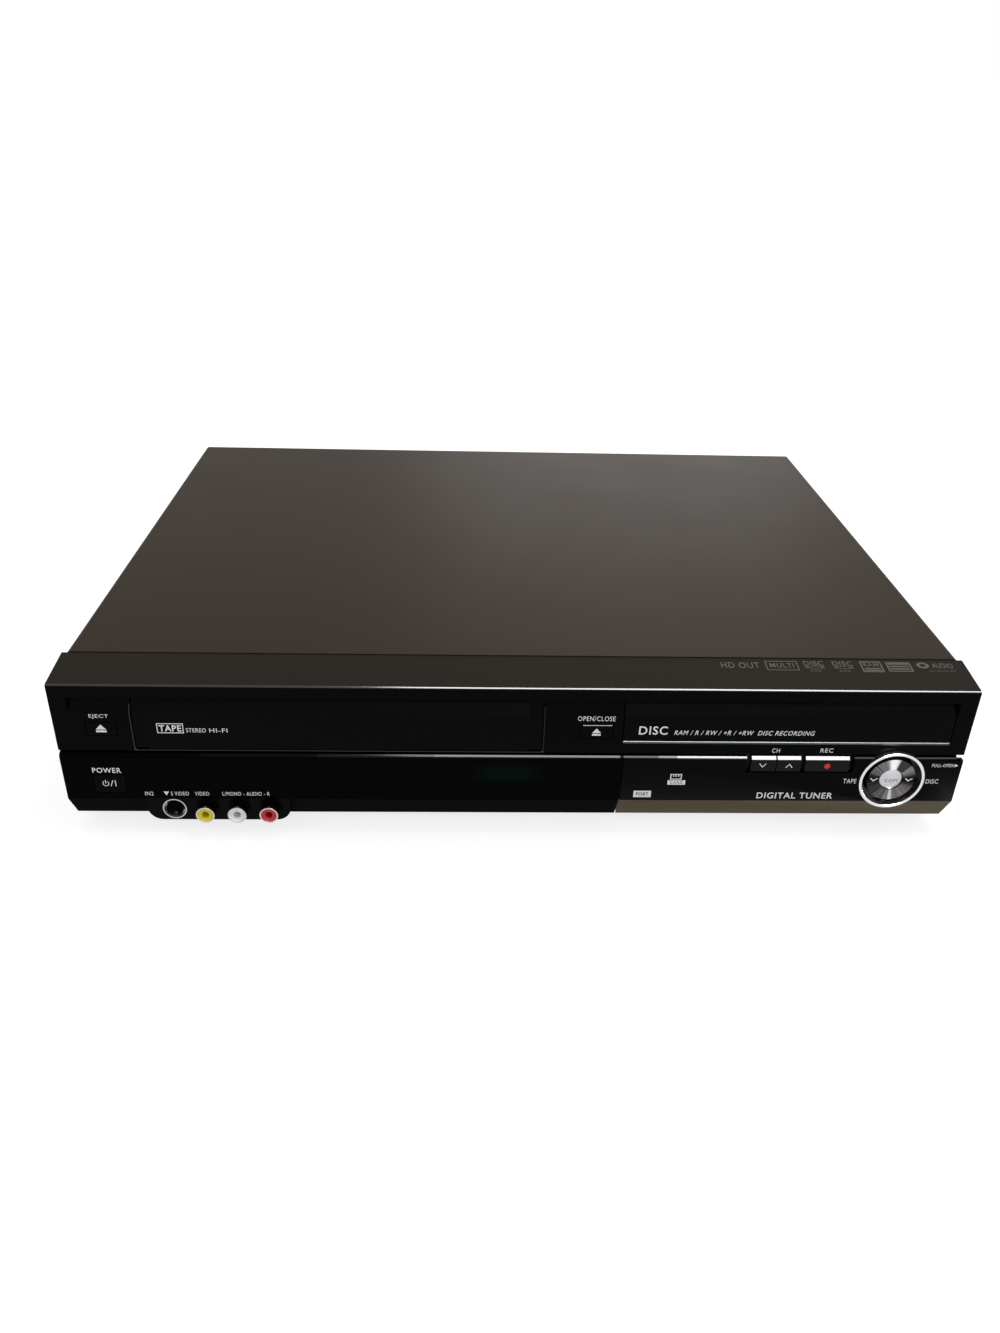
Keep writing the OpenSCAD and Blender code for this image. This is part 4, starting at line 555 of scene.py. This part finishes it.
def keep(name, mesh, material, body):
    """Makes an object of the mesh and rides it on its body."""
    mesh.materials.append(material)
    made = bpy.data.objects.new(name, mesh)
    bpy.context.scene.collection.objects.link(made)
    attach(made, body)


def support(pulleys, angle, extra):
    """The belt's point whose outward direction is the angle, round whichever pulley reaches further."""
    out = Vector((math.cos(angle), math.sin(angle), 0))
    x, y, r = max(pulleys, key=lambda p: p[0] * out.x + p[1] * out.y + p[2])
    return x + out.x * (r + extra), y + out.y * (r + extra)


PULLEYS = ((88.6, 22.0, 8.0), (66.6, 52.0, 3.0))
BELT_IN, BELT_OUT, BELT_LOW, BELT_HIGH, BELT_STEPS = 0.02, 1.0, 51.9, 53.3, 96
belt_mesh = bmesh.new()
loops = []
for extra, z in ((BELT_IN, BELT_LOW), (BELT_OUT, BELT_LOW), (BELT_OUT, BELT_HIGH), (BELT_IN, BELT_HIGH)):
    points = [support(PULLEYS, i * math.tau / BELT_STEPS, extra) for i in range(BELT_STEPS)]
    loops.append([belt_mesh.verts.new(at(x, y, z)) for x, y in points])
for low, high in zip(loops, loops[1:] + loops[:1]):
    for i in range(BELT_STEPS):
        j = (i + 1) % BELT_STEPS
        belt_mesh.faces.new((low[i], low[j], high[j], high[i]))
bmesh.ops.recalc_face_normals(belt_mesh, faces=belt_mesh.faces)
belt = bpy.data.meshes.new("loading_belt")
belt_mesh.to_mesh(belt)
belt_mesh.free()
keep("loading_belt", belt, finish("rubber belt", "#19191a", 0.6, bump_mm=0.01), "cabinet")


# ---------- Tape mechanism ----------
# A sheet-steel deck with a polished alloy head drum on a cast base, and white reel tables and cam.
# A zinc-plated holder on a black carriage takes the cassette down on to the reels.
dress("deck_plate", zinc, 0.15)
dress("side_guides", drive_black, 0.2)
dress("cassette_holder", zinc, 0.15)
dress("holder_carriage", drive_black, 0.2)
cast = finish("die-cast alloy", "#8e9092", 0.42, grain_mm=0.8, bump_mm=0.01, metallic=0.9)
dress("drum_base", cast, 0.2)
dress("head_drum", finish("turned and polished alloy", "#c8c9ca", 0.14, bump_mm=0.0, metallic=1.0), 0.15)
dress("capstan", finish("steel capstan and flywheel", "#a2a4a6", 0.25, bump_mm=0.0, metallic=1.0), 0.1)
dress("pinch_arm", zinc, 0.1)
dress("pinch_roller", finish("roller rubber", "#202022", 0.6, bump_mm=0.006), 0.15)
for node in ("supply_reel", "take_up_reel", "cam_gear"):
    dress(node, acetal, 0.1)
for node in ("supply_post", "take_up_post"):
    dress(node, cast, 0.1)
dress("tape_heads", finish("screened heads", "#b5b6b6", 0.3, bump_mm=0.002, metallic=0.9), 0.15)


# ---------- Cooling fan ----------
# A small axial fan, its frame and rotor moulded in black. It stands on two brackets inside the rear
# panel's grille, and four struts hold the seat that its rotor turns on.
dress("fan_frame", drive_black, 0.15)
dress("fan_rotor", finish("fan blades", "#1d1d1f", 0.35, bump_mm=0.003), 0.08)


# ---------- Flat cable ----------
# A grey flat cable with its conductors showing, folded down behind the front board and laid on the
# floor pan to the main board.
CABLE_T, CABLE_LEFT, CABLE_RIGHT = 0.6, 31.0, 44.0
CABLE_RUN = [(23.9, 30.0), (26.0, 30.0), (28.5, 28.5), (29.6, 25.5), (29.9, 20.0), (30.6, 12.5), (32.6, 9.6),
             (36.0, 8.8), (60.0, 8.6), (190.0, 8.6), (194.0, 9.4), (196.4, 12.0), (197.6, 15.0), (199.4, 16.1),
             (205.0, 16.0)]
# The wave texture repeats every tau / 20 units, so at this scale the conductors stand 2.5 mm apart.
CONDUCTOR_SCALE = 125.0


def conductors(tree, place):
    """Grey insulation with the lighter lines of the conductors in it."""
    lines = add(tree, "TexWave", {"Vector": place, "Scale": CONDUCTOR_SCALE}, bands_direction="X")
    return blend(tree, lines.outputs["Fac"], "#6d6f72", "#a5a7a9")


def flat_cable(name, left, right, run):
    """Makes a flat cable from left to right along a run of places: behind the face, above the table."""
    mesh = bmesh.new()
    rings = []
    for i, (y, z) in enumerate(run):
        before, after = run[max(0, i - 1)], run[min(len(run) - 1, i + 1)]
        length = math.hypot(after[0] - before[0], after[1] - before[1])
        aside = CABLE_T / 2 / length
        ny, nz = (before[1] - after[1]) * aside, (after[0] - before[0]) * aside
        rings.append([mesh.verts.new(at(x, y + s * ny, z + s * nz))
                      for x, s in ((left, -1), (right, -1), (right, 1), (left, 1))])
    for low, high in zip(rings, rings[1:]):
        for i in range(4):
            mesh.faces.new((low[i], low[(i + 1) % 4], high[(i + 1) % 4], high[i]))
    mesh.faces.new(rings[0])
    mesh.faces.new(reversed(rings[-1]))
    bmesh.ops.recalc_face_normals(mesh, faces=mesh.faces)
    data = bpy.data.meshes.new(name)
    mesh.to_mesh(data)
    mesh.free()
    keep(name, data, finish("grey flat cable", conductors, 0.5, bump_mm=0.0), "cabinet")


flat_cable("front_cable", CABLE_LEFT, CABLE_RIGHT, CABLE_RUN)


# ---------- Printing ----------
# Words and signs pad-printed in thin ink: white on the face, dim grey on the top, and plain words by
# the rear sockets. The wording is generic.
INK_MM = 0.03


def stamp(ink, points, faces, place):
    """Adds flat faces, given by points across and up, to a print as a thin closed layer."""
    under, over = ([ink.verts.new(place(u, v, w)) for u, v in points] for w in (-INK_MM, INK_MM))
    rim = set()
    for face in faces:
        ink.faces.new([over[i] for i in face])
        ink.faces.new([under[i] for i in reversed(face)])
        for edge in zip(face, face[1:] + face[:1]):
            if edge[::-1] in rim:
                rim.remove(edge[::-1])
            else:
                rim.add(edge)
    for a, b in sorted(rim):
        ink.faces.new((under[a], under[b], over[b], over[a]))


def shape(ink, place, *points):
    """Adds one flat sign to a print by its corners, going round against the clock."""
    stamp(ink, points, [list(range(len(points)))], place)


def bar(ink, place, left, right, low, high):
    """Adds a filled rectangle to a print."""
    shape(ink, place, (left, low), (right, low), (right, high), (left, high))


def frame_line(ink, place, left, right, low, high, line):
    """Adds a rectangle drawn with a line."""
    bar(ink, place, left, right, low, low + line)
    bar(ink, place, left, right, high - line, high)
    bar(ink, place, left, left + line, low + line, high - line)
    bar(ink, place, right - line, right, low + line, high - line)


def arc(ink, place, x, z, radius, line, start=0.0, stop=360.0, squeeze=1.0):
    """Adds part of a ring drawn with a line."""
    steps = max(8, int((stop - start) / 12))
    turns = [math.radians(start + (stop - start) * i / steps) for i in range(steps + 1)]
    points = [(x + r * math.cos(t), z + r * math.sin(t) * squeeze)
              for t in turns for r in (radius - line, radius)]
    stamp(ink, points, [[2 * i, 2 * i + 1, 2 * i + 3, 2 * i + 2] for i in range(steps)], place)


def word(ink, place, text, left, right, low, high, weight=0.0, slant=0.0, space=1.12):
    """Adds a word, fitted to its field."""
    curve = bpy.data.curves.new(text, "FONT")
    curve.body, curve.resolution_u, curve.offset, curve.shear = text, 3, weight, slant
    curve.space_character = space
    holder = bpy.data.objects.new(text, curve)
    flat = bpy.data.meshes.new_from_object(holder)
    bpy.data.objects.remove(holder)
    us, vs = [v.co.x for v in flat.vertices], [v.co.y for v in flat.vertices]
    wide, tall = (right - left) / (max(us) - min(us)), (high - low) / (max(vs) - min(vs))
    points = [(left + (u - min(us)) * wide, low + (v - min(vs)) * tall) for u, v in zip(us, vs)]
    stamp(ink, points, [list(face.vertices) for face in flat.polygons], place)
    bpy.data.meshes.remove(flat)


def on_front(depth):
    """Places a print on an upright face this far behind the upper front face."""
    return lambda u, v, w: at(u, depth - w, v)


def on_rear(depth):
    """Places a print on the rear, where across runs the other way."""
    return lambda u, v, w: at(-u, depth + w, v)


def printed(name, ink, material, body):
    """Makes a print's object and rides it on its body."""
    data = bpy.data.meshes.new(name)
    ink.normal_update()
    ink.to_mesh(data)
    ink.free()
    keep(name, data, material, body)


white_ink = finish("white pad-printing ink", "#f0f1f2", 0.5, bump_mm=0.0, tone=0.02, specular=0.1)
grey_ink = finish("dim grey ink", "#67645e", 0.5, bump_mm=0.0, tone=0.03, specular=0.03)
red_ink = finish("red ink", "#d8402f", 0.5, bump_mm=0.0, tone=0.03, specular=0.1)
PANEL_PROUD, REAR_PANEL = 1.2, 332.0
face, low_face, over_ink = on_front(0.0), on_front(-PANEL_PROUD), on_front(-PANEL_PROUD - INK_MM)
CHEVRON = ((1.4, -1.2), (1.8, -1.0), (0, 1.2), (-1.8, -1.0), (-1.4, -1.2), (0, 0.6))
DOT_R, DOT_STEPS, SIGN_BAR, SIGN_BASE = 1.5, 24, 0.24, 0.36


def open_sign(ink, place, x, low, high, half):
    """The usual triangle over a bar."""
    base = low + (high - low) * SIGN_BASE
    shape(ink, place, (x - half, base), (x + half, base), (x, high))
    bar(ink, place, x - half, x + half, low, low + (high - low) * SIGN_BAR)


ink = bmesh.new()
word(ink, face, "EJECT", -198.0, -189.2, 64.7, 67.2)
word(ink, face, "OPEN/CLOSE", 27.1, 44.7, 65.3, 67.9)
bar(ink, face, 29.7, 43.5, 62.7, 63.0)
word(ink, face, "CH", 121.2, 125.0, 48.1, 50.5)
word(ink, face, "REC", 144.6, 150.8, 48.3, 50.7)
word(ink, low_face, "POWER", -200.8, -187.4, 35.3, 38.2, 0.012)
word(ink, low_face, "IN2", -178.0, -174.0, 22.3, 24.5)
shape(ink, low_face, (-169.2, 24.6), (-167.9, 22.3), (-166.6, 24.6))
word(ink, low_face, "S VIDEO", -165.8, -157.3, 22.3, 24.5)
word(ink, low_face, "VIDEO", -154.4, -147.7, 22.3, 24.5)
word(ink, low_face, "L/MONO - AUDIO - R", -141.4, -118.9, 22.3, 24.5)
printed("front_print", ink, white_ink, "cabinet")

ink = bmesh.new()
open_sign(ink, face, -193.5, 57.4, 61.6, 2.4)
printed("eject_print", ink, white_ink, "eject_button")
ink = bmesh.new()
open_sign(ink, face, 36.3, 57.2, 61.2, 2.1)
printed("open_print", ink, white_ink, "open_close_button")

ink = bmesh.new()
arc(ink, low_face, -195.6, 29.2, 1.55, 0.35, 125, 415)
bar(ink, low_face, -195.78, -195.42, 29.2, 31.2)
shape(ink, low_face, (-193.6, 27.6), (-193.2, 27.6), (-191.9, 31.0), (-192.3, 31.0))
bar(ink, low_face, -191.2, -190.8, 27.6, 31.0)
printed("power_print", ink, white_ink, "power_button")

for name, x, z, way in (("ch_down_print", 117.5, 41.4, -1), ("ch_up_print", 130.5, 41.3, 1)):
    ink = bmesh.new()
    shape(ink, low_face, *[(x + way * u, z + way * v) for u, v in CHEVRON])
    printed(name, ink, white_ink, name.replace("print", "button"))
ink = bmesh.new()
turns = [math.tau * i / DOT_STEPS for i in range(DOT_STEPS)]
shape(ink, low_face, *[(149.0 + DOT_R * math.cos(t), 41.2 + DOT_R * math.sin(t)) for t in turns])
printed("rec_print", ink, red_ink, "rec_button")

ink = bmesh.new()
word(ink, low_face, "DIGITAL TUNER", 117.2, 154.7, 21.9, 25.5, 0.012)
word(ink, low_face, "TAPE", 158.4, 164.9, 31.2, 33.8)
word(ink, low_face, "DISC", 199.2, 205.4, 31.2, 33.8)
word(ink, low_face, "PULL-OPEN", 200.2, 210.8, 41.0, 42.9)
shape(ink, low_face, (211.3, 41.0), (213.0, 41.9), (211.3, 42.9))
bar(ink, low_face, 72.6, 81.2, 29.9, 32.5)
frame_line(ink, low_face, 73.6, 79.2, 33.0, 36.2, 0.5)
for x in (75.0, 76.2, 77.4):
    bar(ink, low_face, x, x + 0.5, 34.6, 35.9)
bar(ink, low_face, 56.6, 65.2, 22.4, 26.2)
printed("door_print", ink, white_ink, "door")

ink = bmesh.new()
word(ink, over_ink, "CARD", 73.8, 80.0, 30.5, 31.9, 0.01)
word(ink, over_ink, "PORT", 57.9, 63.9, 23.3, 25.3, 0.015)
printed("door_dark_print", ink, finish("black ink", "#0d0d0e", 0.5, bump_mm=0.0, specular=0.1), "door")

ink = bmesh.new()
frame_line(ink, face, -168.0, -155.8, 57.1, 62.5, 0.4)
word(ink, face, "TAPE", -167.0, -156.8, 58.1, 61.5, 0.02)
word(ink, face, "STEREO", -154.7, -145.6, 57.6, 59.9)
word(ink, face, "HI-FI", -144.0, -135.7, 57.6, 59.9)
printed("flap_print", ink, white_ink, "flap")

ink = bmesh.new()
word(ink, face, "DISC", 56.3, 69.9, 57.9, 62.6, 0.012)
word(ink, face, "RAM / R / RW / +R / +RW  DISC RECORDING", 73.1, 140.2, 57.9, 60.4, 0.006, 0.25)
printed("tray_print", ink, white_ink, "tray")

TOP_RISE, TOP_RUN, EDGE_ROUND = 2.8, 23.9, 1.2
top_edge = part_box("front_bezel")[1].z / MM - TOP_RISE


def on_top(u, v, w):
    """Places a print on the moulding's sloping top."""
    return at(u, v, top_edge + (v - EDGE_ROUND) * TOP_RISE / TOP_RUN + w)


ink = bmesh.new()
word(ink, on_top, "HD OUT", 96.0, 114.6, 17.2, 21.9, 0.01)
frame_line(ink, on_top, 117.6, 133.2, 15.8, 23.2, 0.5)
word(ink, on_top, "MULTI", 119.6, 131.2, 17.8, 21.4, 0.01)
for x in (141.1, 155.0):
    word(ink, on_top, "DISC", x - 4.8, x + 4.8, 19.6, 23.4, 0.015)
    arc(ink, on_top, x, 18.3, 4.8, 1.4, squeeze=0.2)
    word(ink, on_top, "R/RW", x - 2.6, x + 2.6, 14.8, 16.4)
frame_line(ink, on_top, 163.6, 174.0, 14.9, 23.5, 0.8)
word(ink, on_top, "RAM", 165.2, 172.4, 19.4, 22.4, 0.01)
for y in (15.9, 17.3):
    bar(ink, on_top, 165.0, 172.6, y, y + 0.9)
frame_line(ink, on_top, 176.2, 188.2, 15.4, 23.0, 0.8)
for y in (17.0, 19.0, 21.0):
    bar(ink, on_top, 177.4, 187.0, y, y + 1.1)
arc(ink, on_top, 194.0, 20.6, 3.0, 1.6, squeeze=0.8)
word(ink, on_top, "AUDIO", 198.4, 208.6, 18.4, 22.4, 0.01)
word(ink, on_top, "2.0 + DIGITAL OUT", 196.0, 208.6, 15.6, 16.8)
printed("top_print", ink, grey_ink, "cabinet")

rear = on_rear(REAR_PANEL)
ink = bmesh.new()


def label(text, x, z, letter, tall):
    """Adds a word by the rear sockets: its middle, half the width of a letter and half its height."""
    half = letter * len(text)
    word(ink, rear, text, -x - half, -x + half, z - tall, z + tall)


for x, text in ((0, "OUT"), (20, "IN 1"), (45, "COMPONENT"), (-20, "S VIDEO")):
    label(text, x, 67.4, 1.1, 1.1)
for z, text in ((50.5, "VIDEO"), (35.5, "L"), (20.5, "R")):
    label(text, 10, z, 0.75, 0.8)
for z, text in ((58, "Y"), (43, "PB"), (28, "PR")):
    label(text, 52, z, 0.8, 1.0)
for x, z, text in ((-20, 50, "OUT"), (-20, 31.8, "IN 1"), (70, 46.5, "OPTICAL"), (70, 22.6, "COAXIAL"),
                   (96.2, 34.5, "HD OUT"), (180, 62.4, "RF IN"), (180, 39.4, "RF OUT"), (-185, 43.6, "AC IN")):
    label(text, x, z, 0.8, 0.9)
printed("rear_print", ink, white_ink, "cabinet")

CAP_DOME, SIGN_OUT = 12.0, 8.6
dial_face, cap_front = ((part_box(node)[0].y - FACE_Y) / MM for node in ("dial", "dial_cap"))


def on_cap(u, v, w):
    """Places a print on the cap's dome, by its distance from the dial's middle."""
    x, z = u + DIAL_X / MM, v + DIAL_Z / MM
    return at(x, cap_front + CAP_DOME - math.sqrt(CAP_DOME ** 2 - u * u - v * v) - w, z)


ink = bmesh.new()
word(ink, on_cap, "COPY", -3.4, 3.4, -0.9, 0.9, 0.01)
printed("cap_print", ink, finish("dark ink", "#55575b", 0.5, bump_mm=0.0), "dial")
ink = bmesh.new()
for side in (-1, 1):
    x, z = DIAL_X / MM + side * SIGN_OUT, DIAL_Z / MM
    shape(ink, on_front(dial_face), (x - 1.9, z + 0.7), (x - 0.2, z - 1.0), (x + 1.9, z + 0.7),
          (x + 1.5, z + 1.0), (x - 0.2, z - 0.2), (x - 1.5, z + 1.0))
printed("dial_print", ink, white_ink, "dial")


# ---------- Picture ----------
# Plain colour rendering.
bpy.context.scene.view_settings.view_transform = "Standard"
